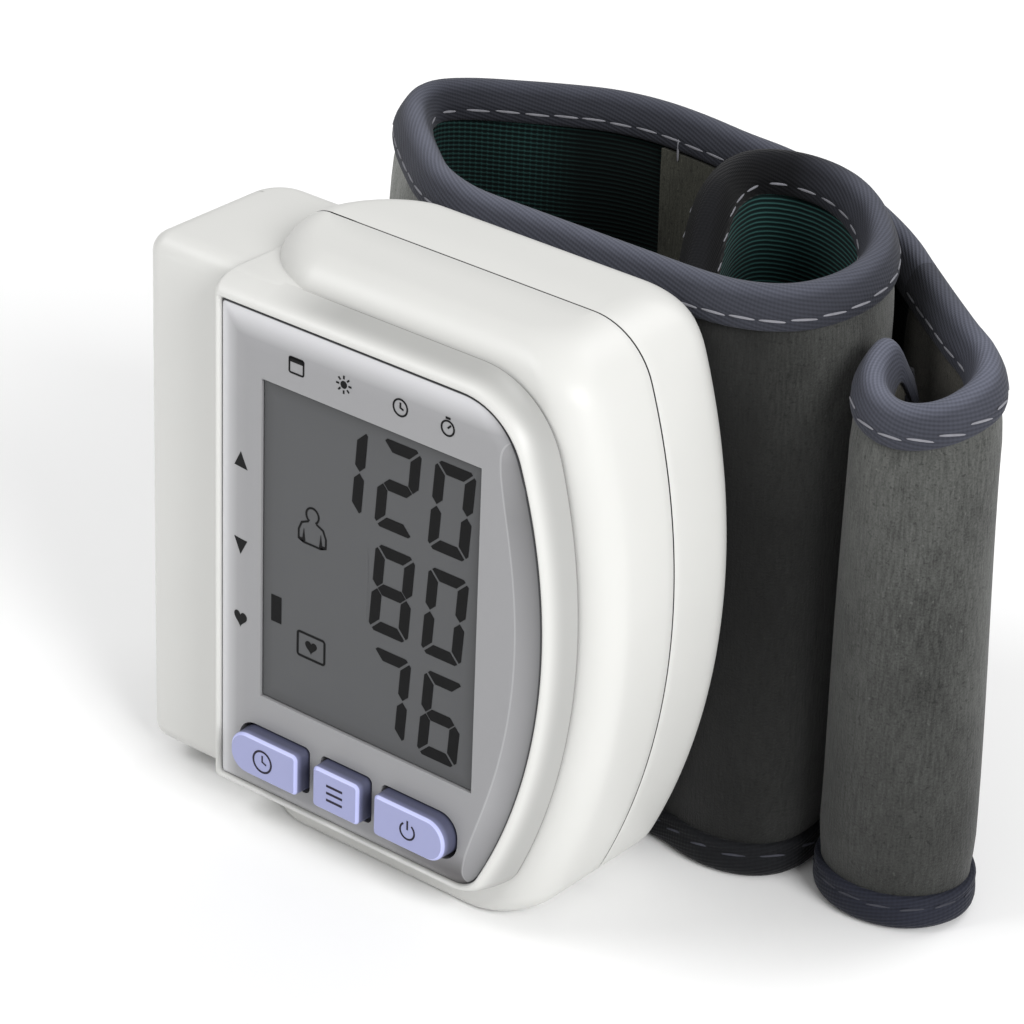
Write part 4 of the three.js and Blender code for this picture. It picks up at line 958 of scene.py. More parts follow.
def printed(name, colour, roughness=0.5):
    """Printed film: near-black, with a slight unevenness in its gloss."""
    material = new_finish(name, colour, roughness, Specular_IOR_Level=0.1)
    cloud = noise(material, own_place(material), 900.0, 2.0)
    tone = ramp(material, cloud, shades(colour, (0.3, 0.9), (0.7, 1.12)))
    into_shader(material, Base_Color=tone)
    return material


figure_ink = printed("figure_ink", linear(14, 14, 15))
figure_film = film(lit_bars + person + pulse_bar + heart_box, LENS_FACE - 2 * INK_PROUD)
add_piece("display_figures", *figure_film, figure_ink, "display_lens", flat=True)

# Printed marks: small plain symbols in dark ink on the panel, above the display and at its left.
# They stand for date, day, hour and minute, and for the high, the low and the pulse reading.
TOP_MARKS_Z = 57.3
LEFT_MARKS_X = -13.2


def hands(x, z, reach):
    """A clock's two hands, as one bent line."""
    return stroke([(x, z + reach), (x, z), (x + reach * 0.75, z - reach * 0.3)], 0.2)


def marks_on_panel():
    """Outlines of the panel's seven symbols in x and z."""
    date_x, day_x, hour_x, minute_x = -5.6, 0.7, 8.1, 14.2
    z = TOP_MARKS_Z
    date = [
        stroke(rounded(date_x, z - 0.1, 0.95, 0.85, 0.2), 0.2, closed=True),
        np.array([(date_x + a * 0.95, z + b) for a, b in ((-1, 0.25), (1, 0.25), (1, 0.75), (-1, 0.75))]),
    ]
    day = [disc(day_x, z, 0.42)] + [
        stroke([(day_x + 0.62 * c, z + 0.62 * s), (day_x + 1.0 * c, z + 1.0 * s)], 0.2)
        for c, s in zip(np.cos(np.arange(8) * np.pi / 4), np.sin(np.arange(8) * np.pi / 4))
    ]
    hour = [stroke(disc(hour_x, z, 0.9), 0.2, closed=True), hands(hour_x, z, 0.55)]
    minute = [
        stroke(disc(minute_x, z - 0.15, 0.8), 0.2, closed=True),
        stroke([(minute_x, z - 0.15), (minute_x + 0.4, z + 0.25)], 0.2),
        stroke([(minute_x - 0.3, z + 0.95), (minute_x + 0.3, z + 0.95)], 0.25),
    ]
    x = LEFT_MARKS_X
    high = [np.array([(x - 1.0, 43.2), (x + 1.0, 43.2), (x, 45.0)])]
    low = [np.array([(x - 1.0, 34.9), (x, 33.1), (x + 1.0, 34.9)])]
    pulse = [HEART * 1.05 + np.array([x, 25.5])]
    return date + day + hour + minute + high + low + pulse


panel_ink = printed("panel_ink", linear(16, 16, 17))
mark_points, mark_faces = film(marks_on_panel(), 0.0)
mark_points[:, 1] += panel_height(mark_points[:, 0], mark_points[:, 2]) - INK_PROUD
add_piece("panel_marks", mark_points, mark_faces, panel_ink, "grey_panel", flat=True)

# Keys: three lilac caps, each moulded in one with a flange that keeps it behind the panel.
# They are pushed straight in against their switches; their symbols are printed.
KEY_FLANGE = 0.6
KEY_FLANGE_Y = (1.9, 2.5)
KEY_BEVEL, KEY_DRAFT, KEY_ROUND = 0.32, 0.06, 0.2
SYMBOL_INK = 0.02


def capped(rows, cols):
    """Faces of a closed tube of rings, with one face over each end."""
    ends = [list(range(cols))[::-1], [rows * cols - cols + k for k in range(cols)]]
    return grid_faces(rows, cols, wrap_cols=True).tolist() + ends


def key_cap(x0, x1, left, right):
    """Rings of the key's outline from the flange, up the side with a little draft, over a flat bevel, then
    shrinking to the middle of the face."""
    bevel_y, bevel_in = KEY_FACE + KEY_BEVEL, KEY_DRAFT + KEY_BEVEL
    flange_front, flange_back = KEY_FLANGE_Y
    profile = (
        (-KEY_FLANGE, flange_back), (-KEY_FLANGE, flange_front), (0.0, flange_front), (0.0, 0.0),
        (KEY_DRAFT, bevel_y + 0.03), (KEY_DRAFT + 0.03, bevel_y),
        (bevel_in, KEY_FACE), (bevel_in + 0.04, KEY_FACE),
    )
    rings = []
    for inset, y in profile:
        rounds = (max(KEY_ROUND, side - inset) for side in (left, right))
        xz = pill(x0 + inset, x1 - inset, KEY_LOW + inset, KEY_HIGH - inset, *rounds)
        rings.append(np.column_stack([xz[:, 0], np.full(len(xz), y), xz[:, 1]]))
    rings = np.stack(rings)
    middle = rings[-1].mean(axis=0)
    inner = np.stack([middle + (rings[-1] - middle) * k for k in (0.75, 0.45, 0.15)])
    rings = np.concatenate([rings, inner])
    return rings.reshape(-1, 3), capped(*rings.shape[:2])


def key_plastic(name, colour):
    """Lilac plastic with a painted highlight along the bevel and painted shade deepening down the sides."""
    material = moulded(name, colour)
    _, y, _ = case_axes(material)
    # Painted light: pale on the bevel as a highlight, darker down the sides as shade.
    side = ((KEY_BEVEL - 0.02, 1.3), (KEY_BEVEL + 0.03, 0.55), (1.0, 0.22))
    stops = shades(colour, (0.0, 1.0), (0.02, 1.0), (0.06, 1.55), *side)
    into_shader(material, Base_Color=ramp(material, map_range(material, y, KEY_FACE, KEY_FACE + 1.0), stops))
    return material


lilac = key_plastic("lilac_plastic", linear(152, 156, 196))
key_ink = printed("key_ink", linear(44, 40, 52))
KEY_Z = (KEY_LOW + KEY_HIGH) / 2
power_arc = disc(0.0, 0.0, 0.95, 24, 125, 415)
KEY_SYMBOLS = {
    "time": [stroke(disc(0.0, 0.0, 1.25), 0.24, closed=True), hands(0.0, 0.0, 0.75)],
    "memory": [stroke([(-1.1, z), (1.1, z)], 0.28) for z in (-0.85, 0.0, 0.85)],
    "power": [stroke(power_arc, 0.22), stroke([(0.0, 0.15), (0.0, 1.25)], 0.22)],
}
for key_name, key in KEYS.items():
    cap = key_cap(key["x0"], key["x1"], key["left"], key["right"])
    body = f"{key_name}_key"
    add_piece(f"{key_name}_cap", *cap, lilac, "lilac_keys", body=body, stands_for=[f"{key_name}_button"])
    centre = np.array([(key["x0"] + key["x1"]) / 2, KEY_Z])
    symbol = [
        tuple(s + centre for s in shape) if isinstance(shape, tuple) else shape + centre
        for shape in KEY_SYMBOLS[key_name]
    ]
    symbol_film = film(symbol, KEY_FACE - INK_PROUD, SYMBOL_INK)
    add_piece(f"{key_name}_symbol", *symbol_film, key_ink, "lilac_keys", body=body, flat=True)

# Cuff, outer face: one strip of dark brushed pile, sewn over a bent plate and an air bladder.
# It starts in a curl, turns round the right side, runs behind the case, folds left and comes back far behind.
NEAR_Y = 29.5
BAND_TOP = 66.5
CURL_LIFT, CURL_TIP, FAR_LIFT, TAIL_DROP, ROLL_DIP, TIP_DROP = 3.0, 4.0, 0.7, 2.9, 4.4, 6.0
LOOP_LINE = np.array([
    [19.0, 2.4, 0.0], [13.8, 12.3, 0.0], [11.4, 18.3, 0.0], [11.4, 22.9, 0.0], [15.0, 25.5, 0.0],
    [20.6, 25.5, 0.0], [26.0, 23.0, 0.0], [30.4, 19.0, 0.0], [33.4, 14.1, 0.2], [33.9, 8.7, 0.5],
    [31.7, 3.5, 3.2], [27.4, 0.9, 2.2], [22.5, 0.1, 0.1], [14.0, 0.0, 0.0], [6.0, 0.0, 0.0],
    [-2.0, 0.0, 0.0], [-8.0, 0.15, 0.0], [-14.0, 2.2, 0.8], [-20.0, 6.6, 2.0], [-25.8, 11.7, 3.0],
    [-29.2, 15.9, 3.4], [-29.9, 19.5, 3.4], [-27.2, 22.5, 3.0], [-22.4, 25.3, 2.4], [-17.4, 28.0, 2.0],
    [-12.4, 30.4, 1.8], [-7.0, 31.4, 1.8], [-1.0, 31.2, 1.8], [5.0, 30.4, 1.4], [11.0, 30.2, 0.8],
    [17.0, 30.5, 0.4], [23.0, 29.4, 0.2], [28.8, 26.9, 0.0], [33.8, 23.0, 0.0],
]) + np.array([0.0, NEAR_Y, 0.0])
TAIL_LINE = np.array([
    [33.8, 23.0, 0.0], [39.4, 18.5, 0.0], [44.7, 14.4, 0.5], [48.9, 11.5, 1.4], [51.2, 7.8, 1.8],
    [49.6, 3.7, 1.2], [45.3, 1.9, 0.3], [41.1, 3.6, 0.0], [39.4, 7.7, 0.0], [40.2, 11.1, 0.0],
]) + np.array([0.0, NEAR_Y, 0.0])
PATH_STEP = 0.5


def run_length(line):
    """Length along a line at each of its points."""
    return np.concatenate([[0.0], np.cumsum(np.linalg.norm(np.diff(line, axis=0), axis=1))])


def smooth_path(line, rounds):
    """A curve through the line's points by centripetal Catmull-Rom spans, all at once, then points at even
    steps of length, then repeated three-point means with the ends held. Returns place, lean and length."""
    ends = np.vstack([2 * line[0] - line[1], line, 2 * line[-1] - line[-2]])
    knot = np.concatenate([[0.0], np.cumsum(np.sqrt(np.linalg.norm(np.diff(ends[:, :2], axis=0), axis=1)))])
    p = [ends[k:len(ends) - 3 + k][:, None, :] for k in range(4)]
    t = [knot[k:len(knot) - 3 + k][:, None, None] for k in range(4)]
    w = np.linspace(0, 1, 40, endpoint=False)[None, :, None]
    at = t[1] + (t[2] - t[1]) * w

    def mix(a, b, ta, tb):
        return (tb - at) / (tb - ta) * a + (at - ta) / (tb - ta) * b

    a = [mix(p[k], p[k + 1], t[k], t[k + 1]) for k in range(3)]
    b = [mix(a[k], a[k + 1], t[k], t[k + 2]) for k in range(2)]
    curve = np.vstack([mix(b[0], b[1], t[1], t[2]).reshape(-1, 3), line[-1:]])
    length = run_length(curve[:, :2])
    even = np.linspace(0, length[-1], int(length[-1] / PATH_STEP) + 1)
    curve = np.column_stack([np.interp(even, length, curve[:, k]) for k in range(3)])
    for _ in range(rounds):
        curve[1:-1] = 0.25 * curve[:-2] + 0.5 * curve[1:-1] + 0.25 * curve[2:]
    return curve[:, :2], curve[:, 2], even


class Band:
    """A strip of cloth stood on edge along a plan curve, with its own height along the way."""

    def __init__(self, line, rounds, top):
        self.spot, self.lean, self.length = smooth_path(line, rounds)
        self.top = top(self.length / self.length[-1])
        self.ahead = np.gradient(self.spot, axis=0)
        self.ahead /= np.linalg.norm(self.ahead, axis=1)[:, None]
        self.out = np.column_stack([-self.ahead[:, 1], self.ahead[:, 0]])

    def part(self, start, stop):
        """The same band between two lengths."""
        piece = object.__new__(Band)
        inside = (self.length >= start) & (self.length <= stop)
        piece.__dict__ = {k: v[inside] for k, v in self.__dict__.items()}
        return piece

    def place(self, off, z):
        """Points that stand off the curve to the outside, leaning out more towards the foot."""
        off, z = np.broadcast_arrays(off, z)
        away = off + self.lean[:, None] * (1 - z / self.top[:, None])
        plan = self.spot[:, None, :] + away[..., None] * self.out[:, None, :]
        return np.concatenate([plan, z[..., None]], axis=-1)


def loop_top(u):
    """Height along the loop: raised over the curl, but down at its tip, lifted a little on the far side and
    dropping to the tail."""
    tip = CURL_TIP * (1 - rise(u, 0.0, 0.07))
    curl = CURL_LIFT * (1 - rise(u, 0.15, 0.36)) * rise(u, -0.04, 0.08)
    far = FAR_LIFT * rise(u, 0.62, 0.75)
    return BAND_TOP - tip + curl + far - (TAIL_DROP + FAR_LIFT) * rise(u, 0.86, 0.99)


def tail_top(u):
    """Height along the tail: lower than the loop, with a dip where it rolls up and a drop at its tip."""
    dip = ROLL_DIP * np.exp(-((u - 0.72) / 0.2) ** 2)
    return BAND_TOP - TAIL_DROP - dip - TIP_DROP * rise(u, 0.9, 1.02) ** 2


loop = Band(LOOP_LINE, 12, loop_top)
tail = Band(TAIL_LINE, 6, tail_top)
FOOT_EDGE, TOP_EDGE = 0.95, 2.95
BIND_HEIGHT = 4.2
OUTER_FACE, OUTER_BACK = 1.5, 0.8
PUFF, WAVE = 0.4, 0.10


def closed_strip(along, section, across):
    """A closed solid from one closed section per step of a length. Its UV is that length and the width
    across, in mm."""
    shape = section.shape[:2]
    uv = np.stack([np.broadcast_to(along[:, None], shape), np.broadcast_to(across, shape)], axis=-1)
    return section.reshape(-1, 3), capped(*shape), uv.reshape(-1, 2)


def sewn(name, strip, finish, slot, **more):
    """One piece from a closed strip and its UV."""
    points, faces, uv = strip
    return add_piece(name, points, faces, finish, slot, uv=uv, **more)


def cloth(band, face, rear, puff, foot_edge=FOOT_EDGE, top_edge=TOP_EDGE):
    """A strip of cloth between two depths: its face swells a little between the sewn edges and its back is
    plain. A negative face looks inwards, to the wrist."""
    v = np.concatenate([[0.0], np.linspace(0.03, 0.97, 30), [1.0]])[None, :]
    low, high = foot_edge, (band.top - top_edge)[:, None]
    z = low + (high - low) * v
    from_edge = np.minimum(z - BIND_HEIGHT, band.top[:, None] - BIND_HEIGHT - z)
    swell = puff * rise(from_edge, -0.5, 4.0)
    from_end = np.minimum(band.length - band.length[0], band.length[-1] - band.length)[:, None]
    wave = WAVE * np.sin(band.length[:, None] / 3.7 + z / 9.0)
    wave = wave * rise(from_edge, 1.0, 9.0) * rise(from_end, 0.0, 8.0)
    sign = np.sign(face)
    outer = band.place(face + sign * (swell + wave), z)
    back_z = z[:, ::-6]
    inner = band.place(np.full_like(back_z, rear), back_z)
    section = np.concatenate([outer, inner], axis=1)
    return closed_strip(band.length, section, np.concatenate([z, back_z], axis=1))


TONE_RANGE = 2.0
FULL_TONE = (TONE_RANGE ** 2,) * 3 + (1.0,)
FAR_TURN = (120.0, 150.0)
PLAIN_RUN, PLAIN_RISE = ((0.0, 1.0), (200.0, 1.0)), ((0.0, 1.0), (70.0, 1.0))


def cloth_uv(material):
    """Length along the band and height or width across it, in mm."""
    return add_node(material, "ShaderNodeUVMap", uv_map="cloth").outputs["UV"]


def toned(material, tone, uv, along, up, later=None):
    """A tone times two ramps: one by the length along the band, one by the height or the way off the fold,
    all in mm. A later height ramp takes over along FAR_TURN."""
    axes = add_node(material, "ShaderNodeSeparateXYZ", {"Vector": uv}).outputs

    def by_axis(axis, stops):
        span = max(spot for spot, _ in stops)
        share = sum_of(material, "DIVIDE", sum_of(material, "ABSOLUTE", axes[axis], 0.0), span)
        return ramp(material, share, [(spot / span, (*[part / TONE_RANGE] * 3, 1.0)) for spot, part in stops])

    height = by_axis("Y", up)
    if later:
        turn = map_range(material, axes["X"], *FAR_TURN)
        height = blended(material, "MIX", height, by_axis("Y", later), turn)
    depth = blended(material, "MULTIPLY", by_axis("X", along), height)
    return blended(material, "MULTIPLY", tone, blended(material, "MULTIPLY", depth, FULL_TONE))


def pile(name, colour, contrast, nap, along=PLAIN_RUN, up=PLAIN_RISE, later=None):
    """Brushed loop pile: fine upright streaks, fine specks, a few pale fibres and a soft nap on the light
    side. Its tone follows ramps by length along the band and by height; on the loop and tail they are painted
    shade and light."""
    material = new_finish(name, colour, 0.95, Sheen_Weight=nap, Sheen_Roughness=0.55, Specular_IOR_Level=0.1)
    uv = cloth_uv(material)

    def grain(wide, high, detail, roughness=0.6):
        scaled = add_node(material, "ShaderNodeMapping", {"Vector": uv, "Scale": (wide, high, 1.0)})
        return noise(material, scaled.outputs["Vector"], 1.0, detail, roughness)

    mix = sum_of(material, "ADD", grain(4.2, 0.4, 4.0), grain(5.5, 3.6, 3.0, 0.75))
    mix = sum_of(material, "ADD", mix, grain(0.10, 0.05, 2.0))
    stops = shades(colour, (0.1, 1 - contrast), (0.5, 1.0), (0.9, 1 + contrast))
    tone = ramp(material, map_range(material, mix, 1.0, 2.0), stops)
    fibres = map_range(material, grain(2.6, 1.1, 1.0), 0.7, 0.78, 0.0, 0.3)
    tone = blended(material, "MIX", tone, shaded(colour, 3.2), fibres)
    flecks = map_range(material, grain(2.3, 1.7, 2.0, 0.7), 0.42, 0.3, 0.0, 0.7)
    tone = blended(material, "MIX", tone, shaded(colour, 0.3), flecks)
    tone = toned(material, tone, uv, along, up, later)
    into_shader(material, Base_Color=tone, Normal=bumped(material, mix, 0.5, 0.0002))
    return material


# Painted shade and light on the outer pile: NEAR_RUN is dark over the curl's outside and the run behind the
# case and light at the left fold; NEAR_RISE and TAIL_RISE are darker low and lighter towards the top.
NEAR_RUN = (
    (0.0, 0.2), (22.0, 0.25), (32.0, 0.8), (45.0, 0.8), (53.0, 0.5), (59.0, 0.34), (65.0, 0.1),
    (101.0, 0.1), (111.0, 1.3), (124.0, 2.0), (140.0, 1.1), (200.0, 1.0),
)
NEAR_RISE = (
    (0.0, 0.8), (12.0, 0.75), (30.0, 0.42), (42.0, 0.55), (50.0, 0.95), (57.0, 1.8), (61.0, 2.0), (70.0, 2.0),
)
TAIL_RISE = ((0.0, 0.44), (12.0, 0.57), (34.0, 0.88), (58.0, 1.25), (70.0, 1.3))
PILE_GREY, PILE_CONTRAST, PILE_NAP = linear(68, 69, 67), 0.66, 0.16
outer_pile = pile("outer_pile", PILE_GREY, PILE_CONTRAST, PILE_NAP, NEAR_RUN, NEAR_RISE, TAIL_RISE)
tail_pile = pile("tail_pile", PILE_GREY, PILE_CONTRAST, PILE_NAP, up=TAIL_RISE)
cuff_outer = sewn(
    "cuff_outer_cloth", cloth(loop, OUTER_FACE, OUTER_BACK, PUFF), outer_pile, "pile_fabric",
    stands_for=["cuff_outer"],
)

# Cuff, inner face: a ribbed green-black knit against the wrist, on the other side of the bladder.
# Its left part has a coarse net of fine upright lines.
LINING_FACE, LINING_BACK, LINING_PUFF = -1.5, -1.0, PUFF * 0.6
NET = (126.0, 146.0)
# Painted shade and light on the lining: light in the curl, dark along the far side, and darker low than up
# top.
LINING_RUN = ((0.0, 1.4), (40.0, 1.7), (60.0, 0.7), (128.0, 0.6), (144.0, 0.75), (150.0, 0.25), (200.0, 0.25))
LINING_RISE = ((0.0, 0.5), (30.0, 0.6), (56.0, 1.0), (70.0, 1.2))


def waves(material, spot, direction, scale, distortion, detail=1.0, detail_scale=1.0):
    """Even soft bands across one direction, a little uneven, from 0 to 1."""
    inputs = {"Vector": spot, "Scale": scale, "Distortion": distortion}
    inputs.update({"Detail": detail, "Detail Scale": detail_scale})
    return add_node(material, "ShaderNodeTexWave", inputs, bands_direction=direction).outputs["Fac"]


def knit(name, colour, light):
    """Ribbed knit: even ribs along the band with a little unevenness; one stretch is crossed by fine upright
    lines."""
    material = new_finish(name, colour, 0.85, Sheen_Weight=0.03, Sheen_Roughness=0.5, Specular_IOR_Level=0.1)
    uv = cloth_uv(material)
    ribs = waves(material, uv, "Y", 0.6, 0.5)
    lines = waves(material, uv, "X", 0.45, 0.3)
    along = add_node(material, "ShaderNodeSeparateXYZ", {"Vector": uv}).outputs["X"]
    enter = map_range(material, along, NET[0], NET[0] + 3.0)
    leave = map_range(material, along, NET[1], NET[1] + 4.0, 1.0, 0.0)
    net = sum_of(material, "MULTIPLY", sum_of(material, "MULTIPLY", enter, leave), 0.5)
    net = sum_of(material, "MULTIPLY", net, sum_of(material, "POWER", lines, 3.0))
    mix = sum_of(material, "ADD", ribs, net)
    tone = ramp(material, mix, [(0.15, shaded(colour, 0.5)), (0.6, colour), (1.0, light)])
    tone = toned(material, tone, uv, LINING_RUN, LINING_RISE)
    into_shader(material, Base_Color=tone, Normal=bumped(material, mix, 0.6, 0.0002))
    return material


lining_knit = knit("lining_knit", linear(13, 28, 28), linear(36, 66, 63))
cuff_lining = sewn(
    "cuff_lining_cloth", cloth(loop, LINING_FACE, LINING_BACK, LINING_PUFF), lining_knit, "lining_fabric",
    stands_for=["cuff_lining"],
)

# Cuff, edge bindings: slate twill tape folded over both long edges and sewn through.
# The stitches press a shallow line into the tape about a millimetre from its free edge.
STITCH_DROP = 2.95
RIB_SLANT = np.radians(74)


def binding_section(band, foot):
    """The tape's closed section at each step: up one face from its free edge, over the rim and down the
    other. The upper rim is a narrow ridge, like a tent; at the foot the tape is round and upside down."""
    inside = [[1.2, -2.0], [1.35, -3.2]]
    edge = [
        [1.5, -BIND_HEIGHT], [1.85, -BIND_HEIGHT - 0.02], [2.1, -4.05], [2.18, -3.75],
        [2.16, -3.3], [2.08, -STITCH_DROP],
    ]
    ridge = [
        [2.12, -2.6], [2.0, -2.2], [1.75, -1.65], [1.45, -1.1],
        [1.16, -0.62], [0.9, -0.3], [0.6, -0.1], [0.25, -0.01],
    ]
    bead = [
        [2.16, -2.7], [2.2, -2.2], [2.2, -1.5], [2.08, -0.95],
        [1.85, -0.55], [1.5, -0.26], [1.05, -0.09], [0.5, -0.01],
    ]
    half = np.array(inside + edge + (bead if foot else ridge))
    outline = np.concatenate([half, [[0.0, 0.0]], half[::-1] * [-1, 1]])
    across = run_length(outline)
    across = across - across[len(outline) // 2]
    off = np.broadcast_to(outline[:, 0], (len(band.length), len(outline)))
    z = band.top[:, None] + outline[None, :, 1]
    if foot:
        z = np.broadcast_to(-outline[None, :, 1], off.shape)
    return closed_strip(band.length, band.place(off, z), across)


def end_tape(band, last):
    """Tape folded over the band's short end: one U-shaped plan outline about the end, drawn from the foot to
    the top."""
    k, sign = (-1, -1.0) if last else (0, 1.0)
    top = band.top[k]
    outline = np.array([
        [1.4, 1.4], [1.4, 1.75], [0.6, 1.8], [0.1, 1.65], [-0.3, 1.3], [-0.6, 0.8], [-0.7, 0.0],
        [-0.6, -0.8], [-0.3, -1.3], [0.1, -1.65], [0.6, -1.8], [1.4, -1.75], [1.4, -1.4],
    ])
    near_top = top - np.array([1.6, 0.8, 0.3, 0.05])
    z = np.concatenate([[0.0, 0.25, 0.8], np.linspace(2.0, top - 2.6, 24), near_top])
    pinch = np.interp(z, [0.0, 0.8, top - 2.4, top], [0.7, 1.0, 1.0, 0.35])
    away = outline[None, :, 1] * pinch[:, None] + band.lean[k] * (1 - z / top)[:, None]
    plan = band.spot[k] + sign * outline[None, :, :1] * band.ahead[k] + away[..., None] * band.out[k]
    section = np.concatenate([plan, np.broadcast_to(z[:, None, None], (len(z), len(outline), 1))], axis=-1)
    return closed_strip(z, section, run_length(outline))


def twill(name, colour, along=PLAIN_RUN, up=PLAIN_RISE):
    """Twill tape: fine slanting ribs crossed by finer upright threads. Its ramps paint a highlight along the
    fold and light and shade along the band."""
    material = new_finish(name, colour, 0.8, Sheen_Weight=0.06, Sheen_Roughness=0.45, Specular_IOR_Level=0.15)
    uv = cloth_uv(material)
    slant = add_node(material, "ShaderNodeMapping", {"Vector": uv, "Rotation": (0.0, 0.0, RIB_SLANT)})
    ribs = waves(material, slant.outputs["Vector"], "X", 0.75, 0.6, 2.0, 2.0)
    threads = waves(material, uv, "X", 0.9, 0.4)
    mix = sum_of(material, "ADD", ribs, sum_of(material, "MULTIPLY", threads, 0.4))
    mix = sum_of(material, "ADD", mix, noise(material, uv, 0.16, 3.0))
    stops = shades(colour, (0.0, 0.75), (0.5, 1.0), (1.0, 1.25))
    tone = ramp(material, map_range(material, mix, 0.4, 1.9), stops)
    tone = toned(material, tone, uv, along, up)
    into_shader(material, Base_Color=tone, Normal=bumped(material, mix, 0.35, 0.00015))
    return material


# Painted shade and light on the tapes: near black over the curl's tip, lighter round the left fold, darker on
# the far side and at the tail's root; FOLD_RISE is a painted highlight along the fold, darker down the faces.
LOOP_TAPE_RUN = (
    (0.0, 0.05), (18.0, 0.05), (27.0, 0.1), (33.0, 0.55), (38.0, 0.85), (54.0, 0.85), (66.0, 1.0),
    (100.0, 1.2), (124.0, 1.2), (134.0, 0.65), (160.0, 0.75), (200.0, 1.0),
)
TAIL_TAPE_RUN = ((0.0, 0.6), (9.0, 0.8), (18.0, 1.3), (44.0, 1.35), (52.0, 1.0))
FOLD_RISE = ((0.0, 1.25), (0.9, 1.05), (1.9, 0.56), (4.0, 0.46), (6.0, 0.46))
TAPE_SLATE = linear(72, 74, 84)
slate_tape = twill("slate_tape", TAPE_SLATE, LOOP_TAPE_RUN, FOLD_RISE)
tail_tape = twill("tail_tape", TAPE_SLATE, TAIL_TAPE_RUN, FOLD_RISE)
# Darker copies of the slate tape, as painted shade: the end tapes, the loop's foot and the tail's foot.
end_slate = twill("end_slate", linear(24, 25, 30))
loop_foot = twill("loop_foot", linear(18, 19, 22))
dark_tape = twill("dark_tape", linear(34, 36, 46))
loop_top_tape = sewn(
    "cuff_top_tape", binding_section(loop, foot=False), slate_tape, "binding_tape",
    stands_for=["cuff_binding_top"],
)
loop_foot_tape = sewn(
    "cuff_foot_tape", binding_section(loop, foot=True), loop_foot, "binding_tape",
    stands_for=["cuff_binding_bottom"],
)
curl_end_tape = sewn("curl_end_tape", end_tape(loop, last=False), end_slate, "binding_tape")

# Pile patch: a panel of grey-brown loop pile sewn to the far side's inner face, as far as the tail's root.
# It begins at a cut edge, with one upright tack in the tape above.
PATCH = (160.5, 197.5)
PATCH_RUN = ((0.0, 1.0), (178.0, 1.0), (187.0, 0.45), (200.0, 0.4))
PATCH_FACE, PATCH_BACK, PATCH_PUFF = -2.0, -1.5, 0.1
PATCH_EDGES = (4.4, 4.5)
SHORT_CONTRAST, SHORT_NAP = 0.54, 0.1
patch_pile = pile("patch_pile", linear(70, 70, 62), SHORT_CONTRAST, SHORT_NAP, along=PATCH_RUN)
patch_band = loop.part(*PATCH)
patch_strip = cloth(patch_band, PATCH_FACE, PATCH_BACK, PATCH_PUFF, *PATCH_EDGES)
pile_patch = sewn("pile_patch", patch_strip, patch_pile, "pile_fabric")


def bend_at_root(piece):
    """The piece's placement is baked into its mesh."""
    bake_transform(piece)


brown_pile = pile("brown_pile", linear(70, 68, 62), SHORT_CONTRAST, SHORT_NAP)
tail_outer = sewn(
    "tail_outer_cloth", cloth(tail, OUTER_FACE, OUTER_BACK, PUFF), tail_pile, "pile_fabric",
    body=None, stands_for=["tail_outer"],
)
tail_lining = sewn(
    "tail_lining_cloth", cloth(tail, LINING_FACE, LINING_BACK, LINING_PUFF), brown_pile, "hook_fabric",
    body=None, stands_for=["tail_lining", "hook_patch"],
)
tail_top_tape = sewn(
    "tail_top_tape", binding_section(tail, foot=False), tail_tape, "binding_tape",
    body=None, stands_for=["tail_binding_top"],
)
tail_foot_tape = sewn(
    "tail_foot_tape", binding_section(tail, foot=True), dark_tape, "binding_tape",
    body=None, stands_for=["tail_binding_bottom"],
)
tail_end_tape = sewn("tail_end_tape", end_tape(tail, last=True), end_slate, "binding_tape", body=None)
for soft in (tail_outer, tail_lining, tail_top_tape, tail_foot_tape, tail_end_tape):
    bend_at_root(soft)

# Stitches: pale lockstitch through both tapes, one dash each three millimetres on every face.
# Each dash is a short thick thread that sinks into the tape at its ends.
STITCH_PITCH, STITCH_LENGTH, STITCH_THICK = 3.2, 2.8, 0.11
STITCH_OFF, STITCH_SWAY = 2.1, 0.12
STITCH_RINGS, STITCH_SIDES = 7, 8
TACK_AT, TACK_DROP = 163.0, 4.0


def stitches(band, at, side, z, upright=False):
    """Long ellipsoids: a grid of turns and sweeps scaled to one dash and set along the band, or on end."""
    spot, ahead, out = (
        np.column_stack([np.interp(at, band.length, v[:, k]) for k in range(2)])
        for v in (band.spot, band.ahead, band.out)
    )
    top, lean = (np.interp(at, band.length, v) for v in (band.top, band.lean))
    plan = spot + (side * STITCH_OFF + lean * (1 - z / top))[:, None] * out
    around = np.linspace(0, 2 * np.pi, STITCH_SIDES, endpoint=False)
    sweep, turn = np.meshgrid(np.linspace(0, np.pi, STITCH_RINGS), around, indexing="ij")
    thin = np.sin(sweep) ** 0.7 * STITCH_THICK
    body = [np.cos(sweep) * STITCH_LENGTH / 2, thin * np.cos(turn), thin * np.sin(turn) * 1.3]
    body = np.stack(body, axis=-1).reshape(-1, 3)
    flat = np.zeros((len(at), 1))
    ahead, out = np.hstack([ahead, flat]), np.hstack([out, flat])
    upwards = np.broadcast_to([0.0, 0.0, 1.0], ahead.shape)
    long, wide = (upwards, ahead) if upright else (ahead, upwards)
    dashes = sum(body[None, :, k:k + 1] * axis[:, None, :] for k, axis in enumerate((long, out, wide)))
    dashes = dashes + np.column_stack([plan, z])[:, None, :]
    start = np.arange(len(at)) * len(body)
    faces = grid_faces(STITCH_RINGS, STITCH_SIDES, wrap_cols=True)[None] + start[:, None, None]
    return dashes.reshape(-1, 3), faces.reshape(-1, 4)


